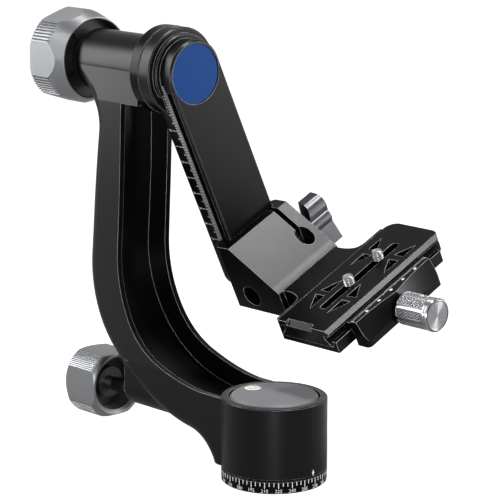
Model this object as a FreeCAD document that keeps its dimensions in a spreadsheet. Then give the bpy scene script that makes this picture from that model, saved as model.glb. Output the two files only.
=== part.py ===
import FreeCAD, Part
import math
import os
from types import SimpleNamespace

import Sketcher

# Gimbal tripod head, millimetres. The pan axis is +Z and the origin is the centre of the base's
# bottom face. The tilt axis runs along X at tilt_height. Pieces of the swing arm are drawn with the
# arm hanging straight down and are then swung about the tilt axis by swing_angle.

doc = FreeCAD.newDocument("gimbal_tripod_head")
sheet = doc.addObject("Spreadsheet::Sheet", "Sizes")

SIZES = [
    # clearances and edges
    ("seat_gap", 0.05, "radial play of pieces fitted into each other"),
    ("run_gap", 0.06, "radial play of turning shafts"),
    ("slide_gap", 0.2, "play between sliding flat faces"),
    ("free_gap", 0.3, "space between faces that must not rub"),
    ("edge", 0.6, "chamfer of turned edges"),
    # base and hub, z from the bottom face
    ("base_radius", 28.0, "base dial and hub"),
    ("dial_height", 6.8, "height of the dial ring"),
    ("hub_top", 45.5, "rim of the hub"),
    ("insert_radius", 8.0, "steel tripod insert"),
    ("insert_height", 12.5, "length of the tripod insert"),
    ("thread_wall", 3.97, "wall radius of the 3/8 inch tripod thread"),
    ("foot_radius", 15.0, "spindle foot in the base"),
    ("foot_bottom", 2.8, "underside of the spindle foot"),
    ("spindle_radius", 10.0, "bearing seats of the spindle"),
    ("brake_radius", 13.0, "brake drum of the spindle"),
    ("neck_radius", 8.0, "threaded top of the spindle"),
    ("pan_ring_radius", 16.0, "outside of the pan bearings"),
    ("pan_ring_width", 6.0, "width of a pan bearing"),
    ("lower_ring", 8.0, "underside of the lower pan bearing"),
    ("upper_ring", 32.5, "underside of the upper pan bearing"),
    ("drum_space", 1.5, "space round the brake drum"),
    ("nut_height", 2.9, "spindle nut"),
    ("foot_screws", 3, "screws that hold the spindle foot"),
    ("foot_screw_circle", 11.6, "radius of the circle of foot screws"),
    ("foot_screw_radius", 1.5, "shank of a foot screw"),
    ("foot_screw_head", 1.2, "height of a foot screw's head"),
    ("cap_floor", 42.0, "seat of the hub cap"),
    ("cap_top", 46.1, "top of the hub cap"),
    ("cap_radius", 23.5, "hub cap"),
    ("cap_groove", 0.8, "dark groove round the hub cap"),
    ("cap_bevel", 1.3, "bevel of the hub cap"),
    ("level_radius", 4.5, "bubble level"),
    ("level_reach", 16.6, "pan axis to the bubble level"),
    ("level_depth", 2.4, "height of the bubble level"),
    # tilt axis, x from the pan axis
    ("tilt_height", 209.0, "tilt axis above the base"),
    ("swing_angle", 25.27, "swing of the arm from straight down, in degrees"),
    ("seam", -79.8, "joint between housing and swing arm"),
    ("tube_radius", 17.1, "tilt housing tube"),
    ("tube_length", 61.0, "seam to the rear end of the tube"),
    ("collar_radius", 24.0, "housing collar"),
    ("collar_width", 7.2, "housing collar"),
    ("axle_radius", 7.5, "tilt axle"),
    ("axle_thread", 6.0, "threaded end of the tilt axle"),
    ("axle_end", 76.5, "seam to the threaded end of the axle"),
    ("tilt_ring_radius", 14.0, "outside of the tilt bearings"),
    ("tilt_ring_width", 7.0, "width of a tilt bearing"),
    ("ring_inset", 1.4, "tilt bearing to the face of the tube"),
    ("ring_split", 10.75, "middle radius of a tilt bearing"),
    ("tube_wall_bore", 12.0, "bore of the tube between the bearings"),
    # arm casting
    ("arm_half", 18.6, "half width of the upright arm"),
    ("arm_half_foot", 22.1, "half width of the arm at the bend"),
    ("arm_straight_foot", 130.0, "height where the arm begins to widen"),
    ("arm_wide_height", 50.0, "height where the arm is at its widest"),
    ("arm_back_round", 8.0, "rounding of the arm's back edges"),
    ("arm_wall", 3.2, "wall beside the channel"),
    ("shoulder_drop", 18.4, "tilt axis to the square underside of the housing"),
    ("boss_half", 12.5, "half width of the pan lock boss"),
    ("boss_end", -107.0, "end face of the pan lock boss"),
    ("boss_round", 11.5, "rounding of the pan lock boss"),
    # pan lock, along X at lock_height
    ("lock_height", 25.7, "axis of the pan lock"),
    ("rod_radius", 4.25, "pan lock rod"),
    ("push_radius", 3.2, "thin front part of the pan lock rod"),
    ("shoe_radius", 4.94, "brake shoe"),
    ("shoe_length", 7.4, "brake shoe"),
    ("shoe_play", 1.6, "room behind the brake shoe"),
    ("bush_radius", 5.4, "rod bush in the boss"),
    ("bush_length", 9.0, "rod bush in the boss"),
    ("bush_flange", 6.2, "flange of the rod bush"),
    ("bush_flange_width", 1.2, "flange of the rod bush"),
    # pan lock knob
    ("pan_knob_front", -127.2, "front rim of the pan lock knob"),
    ("pan_knob_length", 25.3, "pan lock knob"),
    ("pan_knob_recess", 15.1, "radius of the recess in the front"),
    ("pan_knob_floor", 19.5, "depth of the recess"),
    ("pan_knob_rim", 17.6, "front rim"),
    ("pan_knob_bevel", 1.6, "bevel inside the front rim"),
    ("pan_knob_shoulder", 3.8, "length of the round shoulder"),
    ("pan_knob_corner", 20.3, "radius over the fluted corners"),
    ("pan_knob_flat", 17.6, "axis to a flat"),
    ("pan_knob_end", 2.8, "bevel of the outer end"),
    ("pan_knob_sides", 4, "flats of the pan lock knob"),
    ("pan_knob_flutes", 9, "flutes on each corner"),
    ("pan_knob_pitch", 3.2, "angle between flutes, in degrees"),
    ("pan_knob_depth", 0.6, "depth of a flute"),
    ("pan_core_boss", 8.8, "boss of the knob core"),
    ("pan_core_front", 6.8, "front rim to the face of the boss"),
    ("pan_core_face", 12.0, "front rim to the face of the core"),
    # tilt lock knob
    ("tilt_knob_front", -143.2, "front rim of the tilt lock knob"),
    ("tilt_knob_length", 27.7, "tilt lock knob"),
    ("tilt_knob_recess", 21.9, "radius of the recess in the front"),
    ("tilt_knob_floor", 14.2, "depth of the recess"),
    ("tilt_knob_rim", 22.9, "front rim"),
    ("tilt_knob_bevel", 0.4, "bevel inside the front rim"),
    ("tilt_knob_shoulder", 12.3, "length of the conical shoulder"),
    ("tilt_knob_corner", 26.4, "radius over the fluted corners"),
    ("tilt_knob_flat", 24.55, "axis to a flat"),
    ("tilt_knob_end", 1.2, "bevel of the outer end"),
    ("tilt_knob_sides", 5, "flats of the tilt lock knob"),
    ("tilt_knob_flutes", 7, "flutes on each corner"),
    ("tilt_knob_pitch", 4.1, "angle between flutes, in degrees"),
    ("tilt_knob_depth", 0.8, "depth of a flute"),
    ("tilt_core_boss", 12.5, "boss of the knob core"),
    ("tilt_core_face", 5.8, "front rim to the face of the core"),
    ("tilt_lugs", 4, "lugs of the knob core"),
    ("tilt_lug_turn", 36.0, "turn of the lugs from straight up, in degrees"),
    ("tilt_lug_foot", 15.5, "inner radius of a lug"),
    ("tilt_lug_width", 3.8, "width of a lug"),
    ("tilt_lug_height", 3.0, "height of a lug"),
    ("tilt_nut_radius", 9.0, "nut in the tilt lock knob"),
    ("tilt_nut_length", 10.0, "nut in the tilt lock knob"),
    ("thrust_radius", 13.5, "thrust washer of the tilt lock"),
    ("thrust_width", 1.4, "thrust washer of the tilt lock"),
    # swing arm, x from the seam, drops from the tilt axis
    ("swing_thickness", 19.2, "seam to the front face"),
    ("swing_half", 18.0, "half width of the swing arm"),
    ("swing_drop", 131.5, "tilt axis to the lower end"),
    ("swing_corner", 10.0, "lower corners of the swing arm"),
    ("swing_back_round", 3.5, "rounding of the back edges"),
    ("swing_bevel", 1.0, "bevel of the front edges"),
    ("flange_radius", 23.8, "tilt flange of the swing arm"),
    ("flange_width", 8.1, "tilt flange of the swing arm"),
    ("step_radius", 20.7, "step beside the tilt flange"),
    ("step_width", 2.5, "step beside the tilt flange"),
    ("flat_start", 3.5, "tilt axis to the upper end of the side flats"),
    ("groove_start", -2.0, "height of the upper end of the side grooves"),
    ("groove_back", 12.8, "seam to the back wall of a side groove"),
    ("groove_floor", 15.0, "centre plane to the floor of a side groove"),
    ("groove_floor_width", 1.0, "flat floor of a side groove"),
    ("rail_half", 17.5, "half width of the rail in front of the grooves"),
    ("disc_radius", 16.07, "disc on the swing arm"),
    ("disc_gap", 0.33, "gap round the disc"),
    ("disc_depth", 1.6, "front face to the floor under the disc"),
    ("disc_thickness", 1.0, "disc on the swing arm"),
    ("axle_seat", 5.8, "seam to the front end of the axle"),
    ("axle_clamp", 4.4, "arm wall under the head of the axle screw"),
    ("axle_screw_radius", 4.0, "shank of the axle screw"),
    ("axle_screw_head", 6.5, "head of the axle screw"),
    ("axle_screw_length", 20.0, "shank of the axle screw"),
    ("axle_socket", 3.2, "corner radius of the axle screw's socket"),
    ("friction_outer", 16.7, "friction washer in the seam"),
    ("friction_width", 1.4, "friction washer in the seam"),
    # cradle bracket, x from the pan axis, drops from the tilt axis
    ("cradle_near", -25.3, "near side of the bracket"),
    ("cradle_far", 23.0, "far side of the bracket"),
    ("cradle_back", 13.2, "seam to the back of the lips"),
    ("lip_bevel", 3.0, "bevel of the lips"),
    ("table_drop", 118.5, "tilt axis to the table of the bracket"),
    ("bracket_rise", 23.5, "table to the top of the bracket"),
    ("bracket_depth", 15.7, "table to the underside of the bracket"),
    ("table_thickness", 13.4, "table to the underside of the clamp"),
    ("slit_centre", 14.2, "clamp slit from the centre plane"),
    ("slit_width", 3.2, "clamp slit"),
    ("relief_x", -38.0, "relief hole at the end of the slit"),
    ("relief_radius", 4.9, "relief hole at the end of the slit"),
    ("side_hole_x", -49.3, "hole in the near side"),
    ("side_hole_depth", 6.2, "table to the hole in the near side"),
    ("side_hole_radius", 6.2, "hole in the near side"),
    ("side_hole_reach", 24.0, "hole in the near side"),
    ("clamp_half", 43.5, "half length of the clamp"),
    ("clamp_back", -10.3, "outer wall of the fixed jaw"),
    ("clamp_front", 31.2, "front of the clamp base"),
    ("clamp_lip_depth", 6.6, "table to the front lip of the clamp base"),
    ("keel_half", 25.0, "half width of the block under the clamp"),
    ("keel_depth", 3.3, "block under the clamp"),
    ("keel_start", 5.0, "table to the back of the block under the clamp"),
    ("keel_bevel", 1.8, "front edge of the block under the clamp"),
    ("bracket_foot", 6.9, "slope between the undersides of bracket and clamp"),
    # wing knob of the cradle, axis along the width
    ("wing_x", -47.6, "wing knob"),
    ("wing_rise", 4.7, "table to the axis of the wing knob"),
    ("wing_angle", -66.0, "direction of the blades, in degrees"),
    ("wing_foot", 25.6, "root of the blades"),
    ("wing_tip", 30.2, "near side of the blades at their tips"),
    ("wing_top", 41.0, "far side of the blades"),
    ("wing_neck", 4.6, "hub of the wing knob"),
    ("wing_cover", 5.4, "end of the wing knob's hub over its bolt"),
    ("wing_bolt", 3.0, "bolt of the wing knob"),
    ("wing_bolt_end", -10.0, "tip of the bolt"),
    # plate clamp
    ("plate_centre", 10.0, "middle of the plate across the clamp"),
    ("plate_near", -44.6, "near end of the plate"),
    ("plate_far", 50.8, "far end of the plate"),
    ("plate_half", 18.6, "half width of the plate"),
    ("plate_neck", 14.6, "half width of the plate's neck"),
    ("plate_foot", 18.4, "half width of the plate's dovetail"),
    ("plate_rise", 0.2, "table to the top of the plate"),
    ("plate_slab", 3.0, "thickness of the plate's edge"),
    ("plate_thickness", 9.7, "thickness of the plate"),
    ("plate_land", 0.4, "upright edge under the dovetail"),
    ("plate_bevel", 2.4, "bevel of the outer top edge"),
    ("plate_bevel_drop", 1.7, "bevel of the outer top edge"),
    ("plate_corner", 7.0, "far corners of the plate"),
    ("notch_left", 12.5, "middle of the plate to the near side of the sloped notch in its near end"),
    ("notch_right", 6.0, "middle of the plate to the far side of the sloped notch"),
    ("notch_drop", 2.6, "height of the sloped notch"),
    ("notch_depth", 3.0, "length of the sloped notch"),
    ("pocket_depth", 4.8, "depth of the plate's pockets"),
    ("slot_half", 2.5, "half width of the screw slot"),
    ("slot_near", -28.5, "near end of the screw slot"),
    ("slot_far", 34.5, "far end of the screw slot"),
    ("slot_x", 9.9, "screw slot"),
    ("track_half", 6.2, "half width of the track under the slot"),
    ("track_drop", 5.5, "top of the plate to the track"),
    ("near_screw", -5.3, "near lens screw"),
    ("far_screw", 19.0, "far lens screw"),
    ("stud_radius", 3.1, "thread of a lens screw"),
    ("stud_height", 5.3, "lens screw above the plate"),
    ("stud_neck", 2.3, "neck of a lens screw"),
    ("stud_head", 5.2, "head of a lens screw"),
    ("stud_head_height", 2.7, "head of a lens screw"),
    ("driver_slot_half", 0.5, "half width of the driver slot in a screw head"),
    ("driver_slot_depth", 0.9, "driver slot in a screw head"),
    ("washer_width", 0.7, "washer of a lens screw"),
    ("jaw_back", 31.5, "inner face of the moving jaw"),
    ("jaw_front", 40.0, "outer face of the moving jaw"),
    ("jaw_half", 30.5, "half length of the moving jaw"),
    ("jaw_depth", 1.95, "table to the top of the moving jaw"),
    ("jaw_height", 15.55, "moving jaw"),
    ("jaw_corner", 2.5, "upright corners of the moving jaw"),
    ("scoop_radius", 136.0, "finger scoops of the moving jaw"),
    ("scoop_x", 167.0, "centre of a scoop"),
    ("scoop_half", 27.0, "scoops from the centre plane"),
    ("scoop_rise", 35.9, "table to the centre of a scoop"),
    ("screw_depth", 12.3, "table to the clamp screw"),
    ("screw_radius", 2.0, "clamp screw"),
    ("screw_tip", 5.0, "tip of the clamp screw"),
    ("pin_radius", 2.0, "guide pins of the jaw"),
    ("pin_half", 18.0, "guide pins from the centre plane"),
    ("pin_depth", 13.9, "table to the guide pins of the jaw"),
    ("pin_start", 12.0, "inner end of the guide pins"),
    ("pin_end", 38.5, "outer end of the guide pins"),
    # clamp knob
    ("grip_front", 41.3, "face of the clamp knob next to the jaw"),
    ("grip_end", 63.8, "outer end of the clamp knob"),
    ("grip_radius", 8.9, "clamp knob"),
    ("grip_flange", 9.2, "flange of the clamp knob"),
    ("grip_flange_width", 7.5, "flange of the clamp knob"),
    ("grip_cover", 9.2, "outer end of the clamp knob to the end of its screw"),
    ("grip_face", 7.8, "end face of the clamp knob"),
    ("grip_grooves", 8, "grooves of the clamp knob"),
    ("grip_groove_radius", 1.3, "grooves of the clamp knob"),
    ("grip_groove_circle", 9.33, "radius of the circle of grooves"),
    ("grip_washer", 5.0, "washer of the clamp knob"),
]

# Outlines that a few hand-set points describe.
OUTLINES = {
    # side view of the arm: x from the seam and z from the tilt axis
    "arm_inner_top": [(-19.5, 21.0), (-20.5, -13.0), (-24.4, -97.0)],
    "arm_outer_top": [(-57.7, -10.8), (-51.7, -16.0), (-44.2, -36.0), (-51.0, -105.0)],
    "channel_floor_top": [(-34.9, -28.5), (-38.4, -97.0)],
    # side view of the arm: x from the pan axis and z from the base
    "arm_inner_foot": [(-94.0, 72.0), (-72.0, 53.5), (-34.0, 44.3)],
    "arm_outer_foot": [(-110.0, 53.5), (-72.0, 28.5), (-46.0, 20.8), (-27.6, 7.6)],
    "channel_floor_foot": [(-107.0, 66.8), (-77.5, 42.8), (-34.0, 35.3)],
    "boss_side": [(-107.0, 55.0), (-107.0, 19.4), (-68.0, 19.4), (-52.0, 20.8),
                  (-42.0, 27.0), (-55.0, 32.0), (-77.0, 38.0), (-95.0, 47.0)],
    # side view of the bracket: x from the pan axis and z from the table
    "gusset": [(-54.8, 23.8), (-29.6, 2.9), (-25.5, 0.0)],
    # plan of the neck between bracket and clamp
    "neck": [(-32.0, 22.4), (-24.0, 21.6), (-13.8, 23.3), (-11.0, 26.4), (-10.3, 30.5)],
    # half of the wing, along and across the blades
    "wing": [(15.4, 0.9), (7.0, 1.4), (-4.4, 5.0), (-13.6, 2.4)],
    # pockets of the plate: x from its middle and y along it
    "pocket_a": [(-7.2, -30.3), (-7.2, -18.3), (-13.6, -18.8)],
    "pocket_b": [(-13.1, -14.8), (-7.2, -14.8), (-7.2, -3.3)],
    "pocket_c": [(6.0, -14.8), (12.3, -14.0), (6.0, -3.3)],
    "pocket_d": [(5.7, -30.3), (11.8, -18.2), (5.7, -18.3)],
    "pocket_e": [(-12.9, 9.6), (-7.0, 20.6), (-12.9, 20.5)],
    "pocket_f": [(-13.0, 25.2), (-7.0, 25.2), (-12.9, 35.8)],
    "pocket_g": [(6.1, 24.9), (12.4, 25.0), (12.4, 36.2)],
    "pocket_h": [(12.2, 9.4), (12.3, 21.0), (5.8, 20.3)],
}

ARC = "arc"
ARC_BACK = "arc tangent to the next edge"


class Size:
    """A number and the sheet formula that gives it."""

    def __init__(self, value, formula=None):
        self.value = float(value)
        self.formula = formula or "(%r)" % self.value

    def join(self, sign, other, value):
        return Size(value, "(%s %s %s)" % (self.formula, sign, other.formula))

    def __add__(self, other):
        other = as_size(other)
        return self.join("+", other, self.value + other.value)

    def __sub__(self, other):
        other = as_size(other)
        return self.join("-", other, self.value - other.value)

    def __mul__(self, other):
        other = as_size(other)
        return self.join("*", other, self.value * other.value)

    def __truediv__(self, other):
        other = as_size(other)
        return self.join("/", other, self.value / other.value)

    def __neg__(self):
        return Size(-self.value, "(-1 * %s)" % self.formula)

    def __radd__(self, other):
        return as_size(other) + self

    def __rsub__(self, other):
        return as_size(other) - self

    def __rmul__(self, other):
        return as_size(other) * self


def as_size(number):
    """A plain number as a size."""
    return number if isinstance(number, Size) else Size(number)


def cosine(angle):
    """Cosine of a size in degrees."""
    return Size(math.cos(math.radians(angle.value)), "cos(%s)" % angle.formula)


def sine(angle):
    """Sine of a size in degrees."""
    return Size(math.sin(math.radians(angle.value)), "sin(%s)" % angle.formula)


def fill_sheet():
    """Write every driving dimension into the sheet and return them by name."""
    rows = list(SIZES)
    for name, points in OUTLINES.items():
        for number, (x, y) in enumerate(points, 1):
            rows.append(("%s_%d_x" % (name, number), x, "outline point"))
            rows.append(("%s_%d_y" % (name, number), y, "outline point"))
    sizes = {}
    for row, (alias, value, note) in enumerate(rows, 1):
        sheet.set("A%d" % row, alias)
        sheet.set("B%d" % row, str(value))
        sheet.set("C%d" % row, note)
        sheet.setAlias("B%d" % row, alias)
        sizes[alias] = Size(value, "Sizes." + alias)
    return SimpleNamespace(**sizes)


S = fill_sheet()
doc.recompute()


def points(name, x=0, y=0, first_arc=None):
    """Points of an outline moved by x and y. From point first_arc on they end tangent arcs."""
    found = []
    for number in range(1, len(OUTLINES[name]) + 1):
        corner = (getattr(S, "%s_%d_x" % (name, number)) + x, getattr(S, "%s_%d_y" % (name, number)) + y)
        if first_arc is not None and number >= first_arc:
            corner += (ARC,)
        found.append(corner)
    return found


def tie(thing, name, size):
    """Set a property of an object from the sheet."""
    thing.setExpression(name, as_size(size).formula)


# ---- frames -------------------------------------------------------------------------------------

PAN = (None, False)
LOCK = (S.lock_height, False)
HOUSING = (S.tilt_height, False)
SWING = (S.tilt_height, True)


def new_body(name, frame):
    """A body at the base, at the height of the pan lock or the tilt axis, or swung with the arm."""
    body = doc.addObject("PartDesign::Body", name)
    height, swung = frame
    if swung:
        body.Placement = FreeCAD.Placement(FreeCAD.Vector(), FreeCAD.Rotation(FreeCAD.Vector(1, 0, 0), 1))
        tie(body, "Placement.Rotation.Angle", S.swing_angle * Size(1, "1 deg"))
    if height is not None:
        tie(body, "Placement.Base.z", height)
    return body


# ---- sketches -----------------------------------------------------------------------------------

PLANES = {
    # plane: the body axes of the sketch's x, y and normal, and the sign of the normal
    "XY_Plane": ("x", "y", "z", 1),
    "XZ_Plane": ("x", "z", "y", -1),
    "YZ_Plane": ("y", "z", "x", 1),
}


def origin_feature(body, role):
    """An axis or plane of the body's origin."""
    return [part for part in body.Origin.OriginFeatures if part.Role == role][0]


def new_sketch(body, plane, at, turn=None):
    """A sketch on an origin plane, its own origin moved to at and turned about its normal."""
    sketch = body.newObject("Sketcher::SketchObject", body.Name + "_sketch")
    sketch.AttachmentSupport = [(origin_feature(body, plane), "")]
    sketch.MapMode = "FlatFace"
    across, up, out, sign = PLANES[plane]
    place = dict(zip("xyz", at))
    if turn is not None:
        about_normal = FreeCAD.Rotation(FreeCAD.Vector(0, 0, 1), 1)
        sketch.AttachmentOffset = FreeCAD.Placement(FreeCAD.Vector(), about_normal)
        tie(sketch, "AttachmentOffset.Rotation.Angle", turn * Size(1, "1 deg"))
    tie(sketch, "AttachmentOffset.Base.x", place[across])
    tie(sketch, "AttachmentOffset.Base.y", place[up])
    tie(sketch, "AttachmentOffset.Base.z", as_size(place[out]) * sign)
    return sketch


def flat(x, y):
    """A point of a sketch."""
    return FreeCAD.Vector(x, y, 0)


def tangent_arc(start, end, heading):
    """The arc from start to end that leaves start along heading, and the heading at its end.

    Its radius is the squared chord over twice the chord's offset from the heading.
    """
    chord = end - start
    left = FreeCAD.Vector(-heading.y, heading.x, 0)
    offset = chord.dot(left)
    radius = chord.dot(chord) / (2 * offset)
    centre = start + left * radius
    first = math.atan2(start.y - centre.y, start.x - centre.x)
    last = math.atan2(end.y - centre.y, end.x - centre.x)
    counter = radius > 0
    circle = Part.Circle(centre, FreeCAD.Vector(0, 0, 1), abs(radius))
    arc = Part.ArcOfCircle(circle, first, last) if counter else Part.ArcOfCircle(circle, last, first)
    sign = 1 if counter else -1
    return arc, FreeCAD.Vector(-math.sin(last) * sign, math.cos(last) * sign, 0), counter


def pin_point(sketch, index, end, x, y):
    """Tie one point of an edge to its two coordinates."""
    for kind, size in (("DistanceX", as_size(x)), ("DistanceY", as_size(y))):
        row = sketch.addConstraint(Sketcher.Constraint(kind, -1, 1, index, end, size.value))
        tie(sketch, "Constraints[%d]" % row, size)


def draw_outline(sketch, corners):
    """A closed outline of straight edges and arcs.

    A corner marked ARC is reached by an arc tangent to the edge before it, and a corner marked
    ARC_BACK by an arc tangent to the straight edge after it.
    """
    spots = [flat(as_size(corner[0]).value, as_size(corner[1]).value) for corner in corners]
    first = sketch.GeometryCount
    count = len(corners)
    edges = []
    heading = None
    for number in range(count):
        start = spots[number]
        end = spots[(number + 1) % count]
        after = spots[(number + 2) % count]
        mark = corners[(number + 1) % count][2:]
        if mark == (ARC,):
            edge, heading, counter = tangent_arc(start, end, heading)
            edges.append((1, 2) if counter else (2, 1))
        elif mark == (ARC_BACK,):
            heading = (after - end).normalize()
            edge, _, counter = tangent_arc(end, start, -heading)
            edges.append((2, 1) if counter else (1, 2))
        else:
            edge = Part.LineSegment(start, end)
            heading = (end - start).normalize()
            edges.append((1, 2))
        sketch.addGeometry(edge)
    for number in range(count):
        before = (number - 1) % count
        smooth = corners[(number + 1) % count][2:] == (ARC,) or corners[number][2:] == (ARC_BACK,)
        kind = "Tangent" if smooth else "Coincident"
        joint = (first + before, edges[before][1], first + number, edges[number][0])
        sketch.addConstraint(Sketcher.Constraint(kind, *joint))
        pin_point(sketch, first + number, edges[number][0], corners[number][0], corners[number][1])


def draw_circle(sketch, x, y, radius):
    """A circle tied to its centre and radius."""
    spot = flat(as_size(x).value, as_size(y).value)
    index = sketch.addGeometry(Part.Circle(spot, FreeCAD.Vector(0, 0, 1), as_size(radius).value))
    pin_point(sketch, index, 3, x, y)
    row = sketch.addConstraint(Sketcher.Constraint("Radius", index, as_size(radius).value))
    tie(sketch, "Constraints[%d]" % row, radius)


def draw(sketch, loops):
    """Outlines, given as lists of corners, and circles, given as tuples of x, y and radius."""
    for loop in loops:
        if isinstance(loop, tuple):
            draw_circle(sketch, *loop)
        else:
            draw_outline(sketch, loop)


# ---- features -----------------------------------------------------------------------------------

ORIGIN = (0, 0, 0)


def finish_feature(body, feature, sketch, cut, before):
    """Recompute, and see that a cut has removed something."""
    feature.Profile = sketch
    doc.recompute()
    if cut and not before - body.Shape.Volume > 1e-3:
        raise RuntimeError("a cut in %s removes nothing" % body.Name)
    return feature


def prism(body, plane, loops, low, high, at=ORIGIN, turn=None, cut=False):
    """Extrude loops between two levels of the axis across the plane, as a pad or a pocket."""
    before = body.Shape.Volume if cut else 0
    out, sign = PLANES[plane][2:]
    level = high if cut == (sign > 0) else low
    place = dict(zip("xyz", at))
    place[out] = level
    sketch = new_sketch(body, plane, (place["x"], place["y"], place["z"]), turn)
    draw(sketch, loops)
    kind = "Pocket" if cut else "Pad"
    feature = body.newObject("PartDesign::" + kind, body.Name + "_" + kind.lower())
    tie(feature, "Length", as_size(high) - low)
    return finish_feature(body, feature, sketch, cut, before)


AXES = {"X": ("XZ_Plane", "H_Axis"), "Y": ("YZ_Plane", "H_Axis"), "Z": ("XZ_Plane", "V_Axis")}


def turned(body, axis, profile, at=ORIGIN, cut=False):
    """Revolve a profile of (distance along the axis, radius) corners about an axis through at."""
    before = body.Shape.Volume if cut else 0
    plane, reference = AXES[axis]
    sketch = new_sketch(body, plane, at)
    if axis == "Z":
        profile = [(corner[1], corner[0]) + corner[2:] for corner in profile]
    draw(sketch, [profile])
    kind = "Groove" if cut else "Revolution"
    feature = body.newObject("PartDesign::" + kind, body.Name + "_" + kind.lower())
    feature.Profile = sketch
    feature.ReferenceAxis = (sketch, [reference])
    return finish_feature(body, feature, sketch, cut, before)


def repeat_round(body, feature, count, axis):
    """Repeat a feature evenly about one of the body's axes."""
    pattern = body.newObject("PartDesign::PolarPattern", body.Name + "_pattern")
    pattern.Originals = [feature]
    pattern.Axis = (origin_feature(body, axis), [""])
    pattern.Angle = 360
    tie(pattern, "Occurrences", count)
    body.Tip = pattern
    doc.recompute()
    return pattern


def soften(body, kind, size, test):
    """Round or bevel the edges whose middle point passes the test."""
    base = body.Tip
    names = []
    for number, edge in enumerate(base.Shape.Edges, 1):
        middle = edge.valueAt((edge.FirstParameter + edge.LastParameter) / 2)
        if test(middle, edge):
            names.append("Edge%d" % number)
    if not names:
        raise RuntimeError("no edge to soften in " + body.Name)
    feature = body.newObject("PartDesign::" + kind, body.Name + "_" + kind.lower())
    feature.Base = (base, names)
    tie(feature, "Radius" if kind == "Fillet" else "Size", size)
    doc.recompute()
    return feature


def near(number, size):
    """Whether a measured number is a size."""
    return abs(number - as_size(size).value) < 0.02


def boolean(kind, name, base, tools):
    """Cut the tools from the base, or fuse them to it."""
    joined = tools[0]
    if len(tools) > 1:
        joined = doc.addObject("Part::MultiFuse", name + "_tools")
        joined.Shapes = tools
    if kind == "Cut":
        result = doc.addObject("Part::Cut", name)
        result.Base = base
        result.Tool = joined
    else:
        result = doc.addObject("Part::MultiFuse", name)
        result.Shapes = [base] + tools
    doc.recompute()
    return result


def ring(axis, low, high, inner, outer):
    """Profile of a plain ring."""
    return [(low, inner), (low, outer), (high, outer), (high, inner)]


def bevelled(low, high, inner, outer, bevel):
    """Profile of a ring with both outer edges bevelled."""
    return [(low, inner), (low, outer - bevel), (low + bevel, outer),
            (high - bevel, outer), (high, outer - bevel), (high, inner)]


def plain_ring(name, frame, axis, low, high, inner, outer, at=ORIGIN):
    """A sub-part that is a plain ring."""
    body = new_body(name, frame)
    turned(body, axis, ring(axis, low, high, inner, outer), at)
    return body


# ---- base and spindle ---------------------------------------------------------------------------

FOOT_TOP = S.dial_height - S.edge / 3
HUB_BOTTOM = S.dial_height + S.slide_gap
DRUM_BOTTOM = S.lower_ring + S.pan_ring_width + S.free_gap
DRUM_TOP = S.upper_ring - S.free_gap
NUT_BOTTOM = S.upper_ring + S.pan_ring_width + S.slide_gap
NUT_TOP = NUT_BOTTOM + S.nut_height
INSERT_BORE = S.insert_radius + S.seat_gap
PAN_SPLIT = (S.spindle_radius + S.pan_ring_radius) / 2
BALL_GAP = S.free_gap / 2


def foot_screw_holes(body, radius, low, high):
    """Holes on the circle of foot screws."""
    hole = prism(body, "XY_Plane", [(S.foot_screw_circle, 0, radius)], low, high, cut=True)
    repeat_round(body, hole, S.foot_screws, "Z_Axis")


def pan_base():
    """Dial ring with a socket for the spindle foot."""
    body = new_body("pan_base", PAN)
    socket = S.foot_radius + S.seat_gap
    turned(body, "Z", [
        (0, INSERT_BORE), (0, S.base_radius - S.edge), (S.edge, S.base_radius),
        (S.dial_height - S.edge, S.base_radius), (S.dial_height, S.base_radius - S.edge),
        (S.dial_height, socket), (S.foot_bottom, socket), (S.foot_bottom, INSERT_BORE)])
    foot_screw_holes(body, S.foot_screw_radius * 2, 0, S.foot_bottom / 2)
    foot_screw_holes(body, S.foot_screw_radius + S.seat_gap, 0, S.foot_bottom)
    return body


def tripod_insert():
    """Steel bush with the tripod thread."""
    return plain_ring("tripod_insert", PAN, "Z", 0, S.insert_height, S.thread_wall, S.insert_radius)


def pan_spindle():
    """Spindle with a foot, two bearing seats, a brake drum and a threaded top."""
    body = new_body("pan_spindle", PAN)
    shoulder = S.spindle_radius + S.edge * 2
    socket_top = S.insert_height + S.slide_gap
    turned(body, "Z", [
        (S.foot_bottom, INSERT_BORE), (S.foot_bottom, S.foot_radius), (FOOT_TOP, S.foot_radius),
        (FOOT_TOP, shoulder), (S.lower_ring, shoulder), (S.lower_ring, S.spindle_radius),
        (DRUM_BOTTOM, S.spindle_radius), (DRUM_BOTTOM, S.brake_radius), (DRUM_TOP, S.brake_radius),
        (DRUM_TOP, S.spindle_radius), (NUT_BOTTOM, S.spindle_radius), (NUT_BOTTOM, S.neck_radius),
        (NUT_TOP, S.neck_radius), (NUT_TOP, 0), (socket_top, 0), (socket_top, INSERT_BORE)])
    foot_screw_holes(body, S.foot_screw_radius + S.seat_gap, S.foot_bottom, FOOT_TOP - S.edge)
    return body


def spindle_screws():
    """Flat head screws from below into the spindle foot."""
    screws = []
    head_top = S.foot_bottom / 2 - S.seat_gap
    head_bottom = head_top - S.foot_screw_head
    head = S.foot_screw_radius * 2 - S.seat_gap
    tip = FOOT_TOP - S.edge * 1.5
    for number in range(int(S.foot_screws.value)):
        body = new_body("spindle_screw_%d" % (number + 1), PAN)
        turn = Size(number) * 360 / S.foot_screws
        spot = (S.foot_screw_circle * cosine(turn), S.foot_screw_circle * sine(turn), 0)
        turned(body, "Z", [(head_bottom, 0), (head_bottom, head), (head_top, head),
                           (head_top, S.foot_screw_radius), (tip, S.foot_screw_radius), (tip, 0)], spot)
        screws.append(body)
    return screws


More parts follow.
